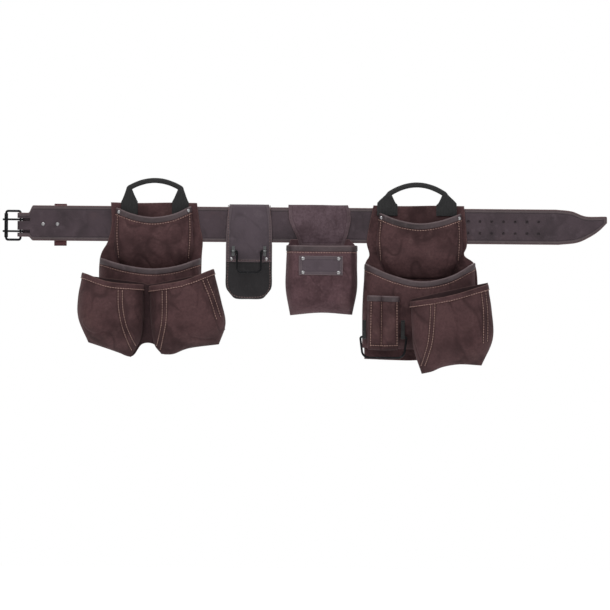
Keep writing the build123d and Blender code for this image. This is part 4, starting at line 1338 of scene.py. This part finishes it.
# ---------------------------------------------------------------- strap and keeper
def build_strap():
    low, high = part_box("belt_strap")
    bar_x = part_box("buckle_frame")[1].x - 0.0025
    half = (high.z - low.z) / 2
    middle_y = -0.002
    turn = 0.0049
    arc = [(bar_x + turn * math.cos(a), turn * math.sin(a))
           for a in np.linspace(math.radians(-90), math.radians(-270), 30)]
    path = [(high.x, middle_y), (0.0, middle_y), (bar_x + 0.024, middle_y)] + arc
    path = path + [(bar_x + 0.024, -middle_y), (bar_x + 0.065, -middle_y)]
    columns, rows = 640, 56
    line = line_at(np.array(path), clustered(columns, 0.4))
    shoulder_x = bar_x + 0.027
    neck_top, neck_bottom = 0.022, -0.030
    spots = np.linspace(0, 1, 60)
    tip_top = smooth_line([(0.54, half), (0.574, 0.0345), (0.604, 0.024), (high.x - 0.004, 0.0238),
                           (high.x, 0.0215)], spots)
    tip_bottom = smooth_line([(0.546, -half), (0.585, -0.0335), (0.612, -0.0216), (0.633, -0.0075),
                              (high.x, 0.0095)], spots)
    grid = np.zeros((rows, columns, 3))
    across = clustered(rows, 0.85)
    for c, (x, y) in enumerate(line):
        neck = smoothstep(np.array(x), shoulder_x - 0.01, shoulder_x)
        top = neck_top + (half - neck_top) * neck
        bottom = neck_bottom + (-half - neck_bottom) * neck
        if y > 0.0 or x < bar_x + 0.01:
            top, bottom = neck_top, neck_bottom
        if x > 0.54:
            top = np.interp(x, tip_top[:, 0], tip_top[:, 1])
            bottom = np.interp(x, tip_bottom[:, 0], tip_bottom[:, 1])
        grid[:, c, 0] = x
        grid[:, c, 1] = y
        grid[:, c, 2] = bottom + (top - bottom) * across
    holes = [(0.35 + i * HOLE_PITCH, side * HOLE_PITCH / 2 - 0.002) for i in range(7) for side in (-1, 1)]
    gap = np.full((rows, columns), 1.0)
    for x, z in holes:
        near = np.hypot(grid[..., 0] - x, grid[..., 2] - z) - HOLE_RADIUS
        gap = np.minimum(gap, np.where(grid[..., 1] < 0, near, 1.0))
    # Painted shade rings each prong hole, standing in for the shadow in the holes.
    strap = slab("belt_strap_leather", grid, 0.0038, BELT_LEATHER, edge=0.0016, wrinkle=0.0003, scale=20.0,
                 seed=21, painted_shade=0.8 * np.exp(-(gap / 0.0011) ** 2))
    cut_strap(strap, bar_x, holes)
    cover(strap, "belt", "belt_leather", "belt_strap")


def cut_strap(strap, bar_x, holes):
    """Punches the prong holes and the two slots the prongs swing in."""
    work = bmesh.new()
    for x, z in holes:
        made = bmesh.ops.create_cone(work, cap_ends=True, segments=24, depth=0.03,
                                     radius1=HOLE_RADIUS, radius2=HOLE_RADIUS)
        for vert in made["verts"]:
            vert.co = Vector((vert.co.x + x, vert.co.z - 0.0166, vert.co.y + z))
    outline = [(-0.019, -0.02), (0.0205, -0.02), (0.0205, 0.0), (0.0036, 0.0), (0.0036, 0.02), (-0.019, 0.02)]
    for side in (-1, 1):
        low_z = side * HOLE_PITCH / 2 - 0.0055 - 0.0031
        face = work.faces.new([work.verts.new((bar_x + x, y, low_z)) for x, y in outline])
        made = bmesh.ops.extrude_face_region(work, geom=[face])
        moved = [part for part in made["geom"] if isinstance(part, bmesh.types.BMVert)]
        bmesh.ops.translate(work, vec=(0, 0, 0.0062), verts=moved)
    bmesh.ops.recalc_face_normals(work, faces=work.faces)
    mesh = bpy.data.meshes.new("punch")
    work.to_mesh(mesh)
    work.free()
    punch = bpy.data.objects.new("punch", mesh)
    bpy.context.scene.collection.objects.link(punch)
    cut = strap.modifiers.new("punched", "BOOLEAN")
    cut.operation = "DIFFERENCE"
    cut.solver = "EXACT"
    cut.object = punch
    bpy.context.view_layer.update()
    finished(strap)
    bpy.data.objects.remove(punch)
    # The hole walls take painted shade and no raw edge tint.
    rim = strap.data.attributes["rim"].data
    relief = strap.data.attributes["relief"].data
    for vert in strap.data.vertices:
        nearest = min(math.hypot(vert.co.x - x, vert.co.z - z) for x, z in holes)
        if nearest < 0.003 and vert.co.y > -0.00385:
            rim[vert.index].value = 0.02
            relief[vert.index].value = -1.0


def build_keeper():
    low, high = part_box("keeper_loop")
    half = 0.0012
    corners = [(low.y + half, 0), (low.y + half, high.z - half), (high.y - half, high.z - half),
               (high.y - half, low.z + half), (low.y + half, low.z + half), (low.y + half, 0)]
    grid = folded_grid(rounded_path(corners, 0.004), low.x, high.x, 160, 24)
    piece = slab("keeper_leather_loop", grid, 0.0024, KEEPER_SUEDE, wrinkle=0.0003, scale=25.0, seed=23)
    cover(piece, "belt", "keeper_leather", "keeper_loop")
    rivets_low, rivets_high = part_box("belt_rivets")
    z = (rivets_low.z + rivets_high.z) / 2
    front = FRONTS["belt_strap_leather"]
    spots = [(rivets_low.x + RIVET_INSET, z), (rivets_high.x - RIVET_INSET, z)]
    set_rivets("belt_rivets", "belt", on_front(front, spots, 0.0))


# ---------------------------------------------------------------- put together
make_camera()
make_studio()
make_floor(floor_material())
paint_steel()
build_strap()
build_keeper()
build_left_bag()
build_holder()
build_tape_pouch()
build_right_bag()
lay_stitches()
